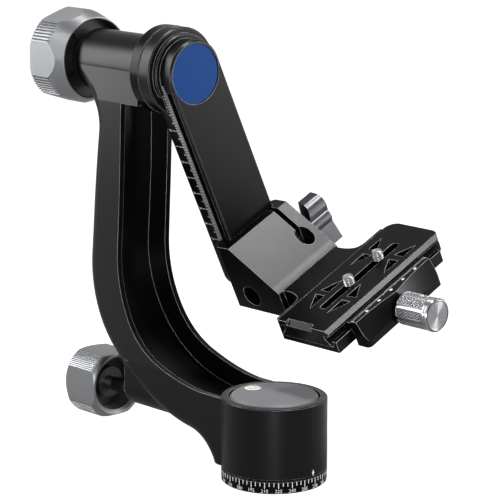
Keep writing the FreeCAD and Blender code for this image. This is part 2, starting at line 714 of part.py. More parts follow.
def pan_bearings():
    """Two bearings, each an inner ring on the spindle and an outer ring in the hub."""
    rings = []
    for place, low in (("lower", S.lower_ring), ("upper", S.upper_ring)):
        high = low + S.pan_ring_width
        rings.append(plain_ring("pan_bearing_%s_inner" % place, PAN, "Z", low, high,
                                S.spindle_radius + S.seat_gap, PAN_SPLIT - BALL_GAP))
        rings.append(plain_ring("pan_bearing_%s_outer" % place, PAN, "Z", low, high,
                                PAN_SPLIT + BALL_GAP, S.pan_ring_radius - S.seat_gap))
    return rings


def spindle_nut():
    """Slotted ring nut that holds the bearings on the spindle."""
    body = new_body("spindle_nut", PAN)
    outer = PAN_SPLIT - S.edge
    half = S.edge * 2
    turned(body, "Z", bevelled(NUT_BOTTOM, NUT_TOP, S.neck_radius + S.seat_gap, outer, S.edge))
    slot = [(outer - half, -half), (outer + half, -half), (outer + half, half), (outer - half, half)]
    notch = prism(body, "XY_Plane", [slot], NUT_TOP - half, NUT_TOP, cut=True)
    repeat_round(body, notch, 4, "Z_Axis")
    return body


def hub_cap():
    """Raised cap with a wide bevel and a pocket for the level."""
    body = new_body("hub_cap", PAN)
    turned(body, "Z", [
        (S.cap_floor, 0), (S.cap_floor, S.cap_radius), (S.cap_top - S.cap_bevel, S.cap_radius),
        (S.cap_top, S.cap_radius - S.cap_bevel), (S.cap_top, 0)])
    prism(body, "XY_Plane", [(-S.level_reach, 0, S.level_radius + S.seat_gap)],
          S.cap_top - S.level_depth, S.cap_top, cut=True)
    return body


def bubble_level():
    """Round level set into the cap."""
    body = new_body("bubble_level", PAN)
    bottom = S.cap_top - S.level_depth
    top = S.cap_top + S.seat_gap
    turned(body, "Z", [(bottom, 0), (bottom, S.level_radius), (top - S.edge / 2, S.level_radius),
                       (top, S.level_radius - S.edge), (top, 0)], (-S.level_reach, 0, 0))
    return body


# ---- arm casting --------------------------------------------------------------------------------

TUBE_REAR = S.seam - S.tube_length
COLLAR_FRONT = S.seam - S.free_gap / 2
TUBE_FRONT = COLLAR_FRONT - S.friction_width
REAR_RING = TUBE_REAR + S.ring_inset
FRONT_RING = TUBE_FRONT - S.ring_inset - S.tilt_ring_width
SHOE_BORE = S.shoe_radius + S.run_gap
SHOE_FRONT = -(S.brake_radius + S.free_gap)
SHOE_REAR = SHOE_FRONT - S.shoe_length
BOTH_SIDES = S.base_radius * 2
SHOULDER = S.tilt_height - S.shoulder_drop


def arm_front(shrink):
    """Front outline of the arm up to the tilt axis, widening to the bend, inset by shrink."""
    top = S.tube_radius - 2 * S.seat_gap - shrink
    half = S.arm_half - shrink
    foot = S.arm_half_foot - shrink
    return [
        (foot, 0), (foot, S.arm_wide_height), (half, S.arm_straight_foot, ARC_BACK),
        (half, SHOULDER), (top, S.tilt_height), (-top, S.tilt_height), (-half, SHOULDER),
        (-half, S.arm_straight_foot), (-foot, S.arm_wide_height, ARC), (-foot, 0)]


def trim_to(body, outline, low, high):
    """Cut away what lies outside an outline seen along X."""
    wide = BOTH_SIDES
    peak = S.tilt_height + wide
    frame = [(-wide, -wide), (wide, -wide), (wide, peak), (-wide, peak)]
    prism(body, "YZ_Plane", [frame, outline], low, high, cut=True)


# How far behind and below an edge the arm is looked for.
PROBE = 0.7


def arm_blank():
    """The curved arm before its channel: side outline, front outline, rounded back."""
    body = new_body("arm_blank", PAN)
    back = (points("arm_outer_top", S.seam, S.tilt_height, 3) + points("arm_outer_foot", 0, 0, 1))
    peak = S.tilt_height + S.tube_radius
    low = S.arm_outer_foot_4_y
    prism(body, "XZ_Plane", [[(back[0][0], peak)] + back + [(0, low), (0, peak)]], -BOTH_SIDES, BOTH_SIDES)
    inner = (points("arm_inner_top", S.seam, S.tilt_height, 3) + points("arm_inner_foot", 0, 0, 1))
    ceiling = S.tilt_height + S.arm_inner_top_1_y
    prism(body, "XZ_Plane", [inner + [(1, S.arm_inner_foot_3_y), (1, ceiling)]],
          -BOTH_SIDES, BOTH_SIDES, cut=True)
    trim_to(body, arm_front(0), TUBE_REAR - BOTH_SIDES, 1)

    def on_back(middle, edge):
        """Edges of the side walls that have nothing of the arm behind and below them."""
        if abs(middle.y) < S.tube_radius.value / 2 or middle.z > S.tilt_height.value - S.tube_radius.value:
            return False
        if middle.x > S.arm_outer_foot_3_x.value or abs(middle.x) < 1:
            return False
        probe = FreeCAD.Vector(middle.x - PROBE, middle.y * 0.9, middle.z - PROBE)
        return not body.Shape.isInside(probe, 1e-3, False)

    soften(body, "Fillet", S.arm_back_round, on_back)
    return body


def arm_channel():
    """The space of the channel in the arm's inner face."""
    body = new_body("arm_channel", PAN)
    floor = (points("channel_floor_top", S.seam, S.tilt_height, 2) + points("channel_floor_foot", 0, 0, 1))
    ceiling = SHOULDER - S.edge
    side = [(floor[0][0], ceiling)] + floor + [(0, S.channel_floor_foot_3_y), (0, ceiling)]
    prism(body, "XZ_Plane", [side], -BOTH_SIDES, BOTH_SIDES)
    trim_to(body, arm_front(S.arm_wall), TUBE_REAR - BOTH_SIDES, 1)
    return body


def arm_solids():
    """Hub, housing tube with its square underside, and pan lock boss."""
    hub = new_body("arm_hub", PAN)
    turned(hub, "Z", bevelled(HUB_BOTTOM, S.hub_top, 0, S.base_radius, S.edge))
    tube = new_body("arm_tube", HOUSING)
    turned(tube, "X", bevelled(TUBE_REAR, TUBE_FRONT, 0, S.tube_radius, S.edge))
    shoulder = new_body("arm_shoulder", HOUSING)
    top = S.tube_radius - 2 * S.seat_gap
    block = [(-S.arm_half, -S.shoulder_drop), (S.arm_half, -S.shoulder_drop), (top, 0), (-top, 0)]
    prism(shoulder, "YZ_Plane", [block], S.seam + S.arm_inner_top_3_x, S.seam - S.collar_width - S.slide_gap)
    boss = new_body("arm_boss", PAN)
    prism(boss, "XZ_Plane", [points("boss_side")], -S.boss_half, S.boss_half)
    low = S.boss_side_2_y.value
    rise = S.boss_side_4_y.value
    soften(boss, "Fillet", S.boss_round, lambda middle, edge: near(abs(middle.y), S.boss_half)
           and low - 1 < middle.z < rise)
    return [hub, tube, shoulder, boss]


def arm_bores():
    """Bearing seats, cap seat and the bore of the pan lock."""
    hub = new_body("hub_bore", PAN)
    seat = S.pan_ring_radius
    drum = S.brake_radius + S.drum_space
    cap = S.cap_radius + S.cap_groove
    turned(hub, "Z", [
        (HUB_BOTTOM - 1, 0), (HUB_BOTTOM - 1, seat), (S.lower_ring + S.pan_ring_width, seat),
        (S.lower_ring + S.pan_ring_width, drum), (S.upper_ring, drum), (S.upper_ring, seat),
        (S.cap_floor, seat), (S.cap_floor, cap), (S.hub_top + 1, cap), (S.hub_top + 1, 0)])
    tube = new_body("tube_bore", HOUSING)
    seat = S.tilt_ring_radius
    rear = REAR_RING + S.tilt_ring_width
    turned(tube, "X", [
        (TUBE_REAR - 1, 0), (TUBE_REAR - 1, seat), (rear, seat), (rear, S.tube_wall_bore),
        (FRONT_RING, S.tube_wall_bore), (FRONT_RING, seat), (TUBE_FRONT + 1, seat), (TUBE_FRONT + 1, 0)])
    rod = new_body("rod_bore", LOCK)
    bush = S.boss_end + S.bush_length
    bush_bore = S.bush_radius + S.seat_gap
    push_bore = S.push_radius + S.free_gap
    shoe = SHOE_REAR - S.shoe_play
    turned(rod, "X", [
        (S.boss_end - 1, 0), (S.boss_end - 1, bush_bore), (bush, bush_bore), (bush, push_bore),
        (shoe, push_bore), (shoe, SHOE_BORE), (0, SHOE_BORE), (0, 0)])
    return [hub, tube, rod]


def j_arm():
    """One casting: curved arm with a channel, hub, housing tube and pan lock boss."""
    curved = boolean("Cut", "arm_curved", arm_blank(), [arm_channel()])
    solid = boolean("Fuse", "arm_solid", curved, arm_solids())
    return boolean("Cut", "j_arm", solid, arm_bores())


def housing_collar():
    """Collar clamped round the front end of the tube."""
    body = new_body("housing_collar", HOUSING)
    rear = S.seam - S.collar_width
    turned(body, "X", bevelled(rear, COLLAR_FRONT, S.tube_radius + S.seat_gap, S.collar_radius, S.edge / 2))
    return body


def tilt_bearings():
    """Two bearings, each an inner ring on the axle and an outer ring in the tube."""
    rings = []
    for place, low in (("rear", REAR_RING), ("front", FRONT_RING)):
        high = low + S.tilt_ring_width
        rings.append(plain_ring("tilt_bearing_%s_inner" % place, HOUSING, "X", low + S.seat_gap, high,
                                S.axle_radius + S.seat_gap, S.ring_split - BALL_GAP))
        rings.append(plain_ring("tilt_bearing_%s_outer" % place, HOUSING, "X", low + S.seat_gap, high,
                                S.ring_split + BALL_GAP, S.tilt_ring_radius - S.seat_gap))
    return rings


# ---- pan lock -----------------------------------------------------------------------------------

ROD_FRONT = SHOE_REAR - S.seat_gap


def pan_lock_bush():
    """Flanged bush that carries the rod in the boss."""
    body = new_body("pan_lock_bush", LOCK)
    inner = S.rod_radius + S.run_gap
    rear = S.boss_end - S.bush_flange_width
    front = S.boss_end + S.bush_length - S.seat_gap
    turned(body, "X", [(rear, inner), (rear, S.bush_flange), (S.boss_end, S.bush_flange),
                       (S.boss_end, S.bush_radius), (front, S.bush_radius), (front, inner)])
    return body


def pan_lock_shoe():
    """Brake shoe, hollowed to the drum of the spindle."""
    body = new_body("pan_lock_shoe", LOCK)
    turned(body, "X", ring("X", SHOE_REAR, SHOE_FRONT + S.edge, 0, S.shoe_radius))
    drum = S.brake_radius + S.free_gap
    prism(body, "XY_Plane", [(0, 0, drum)], -S.shoe_radius * 2, S.shoe_radius * 2, cut=True)
    return body


def pan_lock_rod():
    """Polished rod from the knob to the brake shoe."""
    body = new_body("pan_lock_rod", LOCK)
    rear = S.pan_knob_front - S.pan_knob_floor + S.seat_gap
    step = S.boss_end + S.bush_length - S.shoe_play
    turned(body, "X", [(rear, 0), (rear, S.rod_radius), (step, S.rod_radius), (step, S.push_radius),
                       (ROD_FRONT, S.push_radius), (ROD_FRONT, 0)])
    return body


# ---- lock knobs ---------------------------------------------------------------------------------

def lobed_knob(prefix, frame, shoulder_mark):
    """Turned shell with a shoulder, flats round it and flutes on the corners between them."""
    def size(name):
        return getattr(S, prefix + "_knob_" + name)

    body = new_body(prefix + "_lock_knob", frame)
    front = size("front")
    end = front - size("length")
    floor = front - size("floor")
    shoulder = front - size("shoulder")
    corner = size("corner")
    turned(body, "X", [
        (floor, 0), (end, 0), (end, corner - size("end")), (end + size("end"), corner),
        (shoulder, corner), (front, size("rim")) + shoulder_mark, (front, size("recess") + size("bevel")),
        (front - size("bevel"), size("recess")), (floor, size("recess"))])
    outside = corner + 1
    side = Size(360) / size("sides")
    side_flat = [(-size("flat"), -corner), (-size("flat"), corner), (-outside, corner), (-outside, -corner)]
    cut = prism(body, "YZ_Plane", [side_flat], end - 1, front + 1, cut=True)
    repeat_round(body, cut, size("sides"), "X_Axis")
    flutes = []
    count = int(size("flutes").value)
    for number in range(count):
        turn = 180 + side / 2 + size("pitch") * (number - (count - 1) / 2)
        half = size("pitch") / 2
        left, right = turn - half, turn + half
        root = corner - size("depth")
        flutes.append([
            (outside * cosine(left), outside * sine(left)), (root * cosine(turn), root * sine(turn)),
            (outside * cosine(right), outside * sine(right))])
    return body, flutes, end, front


def lock_knob(prefix, frame, shoulder_mark=()):
    """A lobed knob with its flutes cut and repeated round it."""
    body, flutes, end, front = lobed_knob(prefix, frame, shoulder_mark)
    for flute in flutes:
        cut = prism(body, "YZ_Plane", [flute], end - 1, front + 1, cut=True)
        repeat_round(body, cut, getattr(S, prefix + "_knob_sides"), "X_Axis")
    return body


def pan_lock_core():
    """Dark core of the pan lock knob, round the rod."""
    body = new_body("pan_lock_knob_core", LOCK)
    floor = S.pan_knob_front - S.pan_knob_floor + S.seat_gap
    face = S.pan_knob_front - S.pan_core_face
    boss = S.pan_knob_front - S.pan_core_front
    outer = S.pan_knob_recess - S.seat_gap
    bore = S.rod_radius + S.seat_gap
    turned(body, "X", [(floor, bore), (floor, outer), (face, outer), (face, S.pan_core_boss),
                       (boss, S.pan_core_boss), (boss, bore)])
    return body


def tilt_lock_core():
    """Dark core of the tilt lock knob with lugs round its boss."""
    body = new_body("tilt_lock_knob_core", HOUSING)
    floor = S.tilt_knob_front - S.tilt_knob_floor + S.seat_gap
    face = S.tilt_knob_front - S.tilt_core_face
    outer = S.tilt_knob_recess - S.seat_gap
    bore = S.axle_thread + S.free_gap
    nut_bore = S.tilt_nut_radius + S.seat_gap
    nut_front = floor + S.tilt_nut_length + S.seat_gap
    boss = THRUST_REAR - S.seat_gap
    turned(body, "X", [(floor, nut_bore), (floor, outer), (face, outer), (face, S.tilt_core_boss),
                       (boss, S.tilt_core_boss), (boss, bore), (nut_front, bore), (nut_front, nut_bore)])
    half = S.tilt_lug_width / 2
    reach = outer - S.edge
    block = [(-half, S.tilt_lug_foot), (half, S.tilt_lug_foot), (half, reach), (-half, reach)]
    lug = prism(body, "YZ_Plane", [block], face - S.edge, face + S.tilt_lug_height, turn=S.tilt_lug_turn)
    repeat_round(body, lug, S.tilt_lugs, "X_Axis")
    return body


# ---- tilt axle ----------------------------------------------------------------------------------

FLANGE_REAR = S.seam + S.free_gap / 2
AXLE_FRONT = S.seam + S.axle_seat
AXLE_SHOULDER = REAR_RING - S.slide_gap
THRUST_FRONT = AXLE_SHOULDER - S.slide_gap
THRUST_REAR = THRUST_FRONT - S.thrust_width
FRONT_FACE = S.seam + S.swing_thickness
DISC_FLOOR = FRONT_FACE - S.disc_depth
HEAD_FLOOR = AXLE_FRONT + S.axle_clamp


def tilt_axle():
    """Axle with a threaded rear end and a threaded hole in its front end."""
    body = new_body("tilt_axle", SWING)
    rear = S.seam - S.axle_end
    hole = AXLE_FRONT - S.axle_screw_length
    thread = S.axle_screw_radius + S.seat_gap
    turned(body, "X", [
        (rear, 0), (rear, S.axle_thread - S.edge), (rear + S.edge, S.axle_thread),
        (AXLE_SHOULDER, S.axle_thread), (AXLE_SHOULDER, S.axle_radius), (AXLE_FRONT, S.axle_radius),
        (AXLE_FRONT, thread), (hole, thread), (hole, 0)])
    return body


def axle_screw():
    """Socket head screw that holds the arm on its axle."""
    body = new_body("axle_screw", SWING)
    tip = AXLE_FRONT - S.axle_screw_length + S.edge
    top = DISC_FLOOR - S.free_gap
    turned(body, "X", [(tip, 0), (tip, S.axle_screw_radius), (HEAD_FLOOR, S.axle_screw_radius),
                       (HEAD_FLOOR, S.axle_screw_head), (top, S.axle_screw_head), (top, 0)])
    hexagon = [(S.axle_socket * cosine(Size(60 * k)), S.axle_socket * sine(Size(60 * k))) for k in range(6)]
    prism(body, "YZ_Plane", [hexagon], HEAD_FLOOR + S.edge * 2, top, cut=True)
    return body


def friction_washer():
    """Washer in the seam between housing and arm."""
    front = FLANGE_REAR
    rear = TUBE_FRONT + S.slide_gap
    return plain_ring("friction_washer", SWING, "X", rear, front,
                      S.axle_radius + S.free_gap, S.friction_outer)


def tilt_thrust_washer():
    """Washer between the rear bearing and the tilt lock knob."""
    return plain_ring("tilt_thrust_washer", HOUSING, "X", THRUST_REAR, THRUST_FRONT,
                      S.axle_thread + S.free_gap, S.thrust_radius)


def tilt_lock_nut():
    """Steel nut in the core of the tilt lock knob."""
    rear = S.tilt_knob_front - S.tilt_knob_floor + S.seat_gap
    return plain_ring("tilt_lock_nut", HOUSING, "X", rear, rear + S.tilt_nut_length,
                      S.axle_thread + S.run_gap, S.tilt_nut_radius)


# ---- swing arm ----------------------------------------------------------------------------------

GROOVE_BACK = S.seam + S.groove_back
FLANK_BACK = GROOVE_BACK + S.groove_floor_width
FLANK_RISE = S.rail_half - S.groove_floor
FLANK_FRONT = FLANK_BACK + FLANK_RISE


def swing_arm():
    """Flat arm with a round head, a tilt flange and a dovetail rail in front of two side grooves."""
    body = new_body("swing_arm", SWING)
    half, drop, corner = S.swing_half, S.swing_drop, S.swing_corner
    plan = [(half, -(drop - corner), ARC), (half, 0), (0, half, ARC), (-half, 0, ARC),
            (-half, -(drop - corner)), (-(half - corner), -drop, ARC), (half - corner, -drop)]
    prism(body, "YZ_Plane", [plan], FLANGE_REAR, FRONT_FACE)
    soften(body, "Fillet", S.swing_back_round, lambda middle, edge: near(middle.x, FLANGE_REAR))
    soften(body, "Chamfer", S.swing_bevel, lambda middle, edge: near(middle.x, FRONT_FACE))
    flange = S.seam + S.flange_width
    step = flange + S.step_width
    bevel = S.edge
    turned(body, "X", [
        (FLANGE_REAR, 0), (FLANGE_REAR, S.flange_radius - bevel / 2),
        (FLANGE_REAR + bevel / 2, S.flange_radius),
        (flange - bevel, S.flange_radius), (flange, S.flange_radius - bevel), (flange, S.step_radius),
        (step - bevel, S.step_radius), (step, S.step_radius - bevel), (step, 0)])
    for side in (-1, 1):
        outer = (half + S.flange_radius) * side
        shelf = [(half * side, -S.flat_start), (outer, -S.flat_start),
                 (outer, -S.flange_radius), (half * side, -S.flange_radius)]
        prism(body, "YZ_Plane", [shelf], flange, FRONT_FACE, cut=True)
        groove = [
            (GROOVE_BACK, S.groove_floor * side), (FLANK_BACK, S.groove_floor * side),
            (FLANK_FRONT, S.rail_half * side), (FRONT_FACE + 1, S.rail_half * side),
            (FRONT_FACE + 1, (half + 1) * side), (GROOVE_BACK, (half + 1) * side)]
        prism(body, "XY_Plane", [groove], -drop - 1, S.groove_start, cut=True)
    turned(body, "X", [
        (FLANGE_REAR - 1, 0), (FLANGE_REAR - 1, S.axle_radius + S.seat_gap),
        (AXLE_FRONT, S.axle_radius + S.seat_gap), (AXLE_FRONT, S.axle_screw_radius + S.seat_gap),
        (HEAD_FLOOR, S.axle_screw_radius + S.seat_gap), (HEAD_FLOOR, S.axle_screw_head + S.seat_gap),
        (DISC_FLOOR, S.axle_screw_head + S.seat_gap), (DISC_FLOOR, S.disc_radius + S.disc_gap),
        (FRONT_FACE + 1, S.disc_radius + S.disc_gap), (FRONT_FACE + 1, 0)], cut=True)
    return body


def arm_disc():
    """Thin bare disc over the axle screw."""
    return plain_ring("arm_disc", SWING, "X", DISC_FLOOR, DISC_FLOOR + S.disc_thickness, 0, S.disc_radius)


# ---- heights of the cradle ----------------------------------------------------------------------

BRACKET_TOP = S.table_drop - S.bracket_rise
BRACKET_BOTTOM = S.table_drop + S.bracket_depth
TABLE_BOTTOM = S.table_drop + S.table_thickness
SIDE_HOLE_DROP = S.table_drop + S.side_hole_depth
CLAMP_LIP_DROP = S.table_drop + S.clamp_lip_depth
KEEL_BOTTOM = TABLE_BOTTOM + S.keel_depth
WING_DROP = S.table_drop - S.wing_rise
PLATE_TOP = S.table_drop - S.plate_rise
JAW_TOP = S.table_drop + S.jaw_depth
JAW_BOTTOM = JAW_TOP + S.jaw_height
SCOOP_DROP = S.table_drop - S.scoop_rise
SCREW_DROP = S.table_drop + S.screw_depth
PIN_DROP = S.table_drop + S.pin_depth


# ---- plate --------------------------------------------------------------------------------------

PLATE_BOTTOM = PLATE_TOP + S.plate_thickness
DOVETAIL = S.plate_foot - S.plate_neck
FOOT_DROP = PLATE_BOTTOM - S.plate_land
NECK_DROP = FOOT_DROP - DOVETAIL
SLAB_DROP = PLATE_TOP + S.plate_slab


def lens_plate():
    """Dovetail plate with triangular pockets, a screw slot and a track for the screw heads."""
    body = new_body("lens_plate", SWING)
    x = S.plate_centre
    section = [
        (x - S.plate_half, -PLATE_TOP), (x - S.plate_half, -SLAB_DROP), (x - S.plate_neck, -SLAB_DROP),
        (x - S.plate_neck, -NECK_DROP), (x - S.plate_foot, -FOOT_DROP), (x - S.plate_foot, -PLATE_BOTTOM),
        (x + S.plate_foot, -PLATE_BOTTOM), (x + S.plate_foot, -FOOT_DROP), (x + S.plate_neck, -NECK_DROP),
        (x + S.plate_neck, -SLAB_DROP), (x + S.plate_half, -SLAB_DROP),
        (x + S.plate_half, -(PLATE_TOP + S.plate_bevel_drop)), (x + S.plate_half - S.plate_bevel, -PLATE_TOP)]
    prism(body, "XZ_Plane", [section], S.plate_near, S.plate_far)
    for side in (-1, 1):
        edge_x = x + S.plate_half * side
        round_x = x + (S.plate_half - S.plate_corner) * side
        corner = [(round_x - side, S.plate_far), (round_x, S.plate_far),
                  (edge_x, S.plate_far - S.plate_corner, ARC), (edge_x + side, S.plate_far - S.plate_corner),
                  (edge_x + side, S.plate_far + 1), (round_x - side, S.plate_far + 1)]
        prism(body, "XY_Plane", [corner], -PLATE_BOTTOM - 1, -PLATE_TOP + 1, cut=True)
    foot = -(PLATE_TOP + S.notch_drop)
    notch = [(S.plate_near - 1, foot), (S.plate_near, foot), (S.plate_near + S.notch_depth, -PLATE_TOP),
             (S.plate_near + S.notch_depth, -PLATE_TOP + 1), (S.plate_near - 1, -PLATE_TOP + 1)]
    prism(body, "YZ_Plane", [notch], x - S.notch_left, x + S.notch_right, cut=True)
    pockets = [points("pocket_" + letter, x) for letter in "abcdefgh"]
    prism(body, "XY_Plane", pockets, -(PLATE_TOP + S.pocket_depth), -PLATE_TOP, cut=True)
    slot = slot_loop(S.slot_x, S.slot_near, S.slot_far, S.slot_half)
    prism(body, "XY_Plane", [slot], -PLATE_BOTTOM - 1, -PLATE_TOP, cut=True)
    reach = S.track_half - S.slot_half
    track = slot_loop(S.slot_x, S.slot_near - reach, S.slot_far + reach, S.track_half)
    prism(body, "XY_Plane", [track], -PLATE_BOTTOM - 1, -(PLATE_TOP + S.track_drop), cut=True)
    return body


def slot_loop(x, near_end, far_end, half):
    """A slot along Y whose round ends reach near_end and far_end."""
    low, high = near_end + half, far_end - half
    return [(x + half, low, ARC), (x + half, high), (x, far_end, ARC), (x - half, high, ARC),
            (x - half, low), (x, near_end, ARC)]


def lens_screw(place, y):
    """A captive screw for the lens foot with its washer, on the slot."""
    spot = (S.slot_x, y, 0)
    ceiling = -(PLATE_TOP + S.track_drop)
    washer_top = ceiling - S.seat_gap
    washer_bottom = washer_top - S.washer_width
    washer = plain_ring("lens_screw_washer_" + place, SWING, "Z", washer_bottom, washer_top,
                        S.stud_neck + S.run_gap, S.stud_head, spot)
    screw = new_body("lens_screw_" + place, SWING)
    head_top = washer_bottom - S.seat_gap
    head_bottom = head_top - S.stud_head_height
    thread_start = -PLATE_TOP + S.slide_gap
    tip = -PLATE_TOP + S.stud_height
    turned(screw, "Z", [
        (head_bottom, 0), (head_bottom, S.stud_head), (head_top, S.stud_head), (head_top, S.stud_neck),
        (thread_start, S.stud_neck), (thread_start, S.stud_radius), (tip - S.edge, S.stud_radius),
        (tip, S.stud_radius - S.edge), (tip, 0)], spot)
    half = S.driver_slot_half
    reach = S.stud_head * 2
    slot = [(S.slot_x - half, y - reach), (S.slot_x + half, y - reach),
            (S.slot_x + half, y + reach), (S.slot_x - half, y + reach)]
    prism(screw, "XY_Plane", [slot], head_bottom, head_bottom + S.driver_slot_depth, cut=True)
    return [washer, screw]


# ---- cradle bracket -----------------------------------------------------------------------------

# A gap square to two faces that meet at 45 degrees moves their common edge by this share of it.
CORNER_SHARE = math.tan(math.radians(22.5))
LIP_BACK = S.seam + S.cradle_back
SCREW_BORE = S.screw_radius + S.run_gap
PIN_BORE = S.pin_radius + S.run_gap


def cradle_blank():
    """Bracket and clamp base before any cut: gusset block, table with its neck, and keel."""
    body = new_body("cradle_bracket", SWING)
    slope = points("gusset", 0, -S.table_drop, 3)
    last = slope[-1][0]
    side = [(LIP_BACK, -BRACKET_BOTTOM), (LIP_BACK, -BRACKET_TOP)] + slope + [
        (last, -TABLE_BOTTOM), (last - S.bracket_foot, -BRACKET_BOTTOM)]
    prism(body, "XZ_Plane", [side], S.cradle_near, S.cradle_far)
    neck = points("neck")
    for side in (-1, 1):
        half_plan = [(corner[0], corner[1] * side) for corner in neck]
        smooth = [corner + (ARC,) for corner in half_plan[2:]]
        wall = [(S.clamp_back, S.clamp_half * side), (S.clamp_front, S.clamp_half * side),
                (S.clamp_front, 0), (neck[0][0], 0)]
        prism(body, "XY_Plane", [half_plan[:2] + smooth + wall], -TABLE_BOTTOM, -S.table_drop)
    back = last - S.keel_start
    keel = [(back - S.keel_depth, -TABLE_BOTTOM + 1), (back, -KEEL_BOTTOM),
            (S.clamp_front - S.keel_bevel, -KEEL_BOTTOM), (S.clamp_front, -KEEL_BOTTOM + S.keel_bevel),
            (S.clamp_front, -TABLE_BOTTOM + 1)]
    prism(body, "XZ_Plane", [keel], -S.keel_half, S.keel_half)
    return body


def cut_rail_channel(body):
    """Dovetail channel for the swing arm's rail, with bevelled lips."""
    gap = S.slide_gap
    front = FRONT_FACE + gap
    wall = S.rail_half + gap
    tip = S.groove_floor + gap
    behind = LIP_BACK - 1
    turn_front = FLANK_FRONT - gap * CORNER_SHARE
    turn_back = turn_front - (wall - tip)
    channel = [(front, -wall), (front, wall), (turn_front, wall), (turn_back, tip), (behind, tip),
               (behind, -tip), (turn_back, -tip), (turn_front, -wall)]
    prism(body, "XY_Plane", [channel], -BRACKET_BOTTOM - 1, -BRACKET_TOP + 1, cut=True)
    for edge_y, side in ((S.cradle_near, -1), (S.cradle_far, 1)):
        bevel = [(LIP_BACK - 1, edge_y - S.lip_bevel * side - side), (LIP_BACK + S.lip_bevel, edge_y),
                 (LIP_BACK + S.lip_bevel, edge_y + side), (LIP_BACK - 1, edge_y + side)]
        prism(body, "XY_Plane", [bevel], -BRACKET_BOTTOM - 1, -BRACKET_TOP + 1, cut=True)


def cut_plate_channel(body):
    """Room for the plate's dovetail beside the fixed jaw, and for the moving jaw opposite it."""
    gap = S.slide_gap
    x = S.plate_centre
    slab = x - S.plate_half - gap
    neck = x - S.plate_neck - gap
    foot = x - S.plate_foot - gap
    floor = -(PLATE_BOTTOM + gap)
    right = x + S.plate_foot + gap
    flank_top = -(NECK_DROP + gap * CORNER_SHARE)
    flank_foot = flank_top - (neck - foot)
    room = [(slab, -S.table_drop + 1), (slab, -(SLAB_DROP + gap)), (neck, -(SLAB_DROP + gap)),
            (neck, flank_top), (foot, flank_foot), (foot, floor), (right, floor),
            (right, -CLAMP_LIP_DROP), (S.clamp_front + 1, -CLAMP_LIP_DROP),
            (S.clamp_front + 1, -S.table_drop + 1)]
    prism(body, "XZ_Plane", [room], -S.clamp_half - 1, S.clamp_half + 1, cut=True)
    reach = S.jaw_half + gap
    jaw_room = [(right - 1, -JAW_LIP_BOTTOM - gap), (S.clamp_front + 1, -JAW_LIP_BOTTOM - gap),
                (S.clamp_front + 1, -S.table_drop + 1), (right - 1, -S.table_drop + 1)]
    prism(body, "XZ_Plane", [jaw_room], -reach, reach, cut=True)


def cut_cradle_holes(body):
    """Clamp slit with its relief hole, side hole, bolt hole, and the bores of screw and pins."""
    half = S.slit_width / 2
    deep = -BRACKET_BOTTOM - 1
    top = -BRACKET_TOP + 1
    slit = [(LIP_BACK + S.groove_floor_width, S.slit_centre - half), (S.relief_x, S.slit_centre - half),
            (S.relief_x, S.slit_centre + half), (LIP_BACK + S.groove_floor_width, S.slit_centre + half)]
    prism(body, "XY_Plane", [slit], deep, top, cut=True)
    prism(body, "XY_Plane", [(S.relief_x, S.slit_centre, S.relief_radius)], deep, top, cut=True)
    prism(body, "XZ_Plane", [(S.side_hole_x, -SIDE_HOLE_DROP, S.side_hole_radius)],
          S.cradle_near, S.cradle_near + S.side_hole_reach, cut=True)
    prism(body, "XZ_Plane", [(S.wing_x, -WING_DROP, S.wing_bolt + S.free_gap)],
          S.wing_bolt_end - S.free_gap, S.cradle_far, cut=True)
    prism(body, "YZ_Plane", [(0, -SCREW_DROP, SCREW_BORE)],
          S.screw_tip - S.free_gap, S.clamp_front, cut=True)
    pins = [(S.pin_half * side, -PIN_DROP, S.pin_radius + S.seat_gap) for side in (-1, 1)]
    prism(body, "YZ_Plane", pins, S.pin_start, S.clamp_front, cut=True)


def cradle_bracket():
    """Bracket that climbs the swing arm and carries the plate clamp."""
    body = cradle_blank()
    cut_rail_channel(body)
    cut_plate_channel(body)
    cut_cradle_holes(body)
    return body


def clamp_guide_pins():
    """Two pins that guide the moving jaw."""
    return [plain_ring("clamp_guide_pin_%s" % place, SWING, "X", S.pin_start, S.pin_end, 0,
                       S.pin_radius, (0, S.pin_half * side, -PIN_DROP))
            for place, side in (("near", -1), ("far", 1))]


# ---- moving jaw and clamp knob ------------------------------------------------------------------

JAW_LIP_BOTTOM = FOOT_DROP - S.plate_land


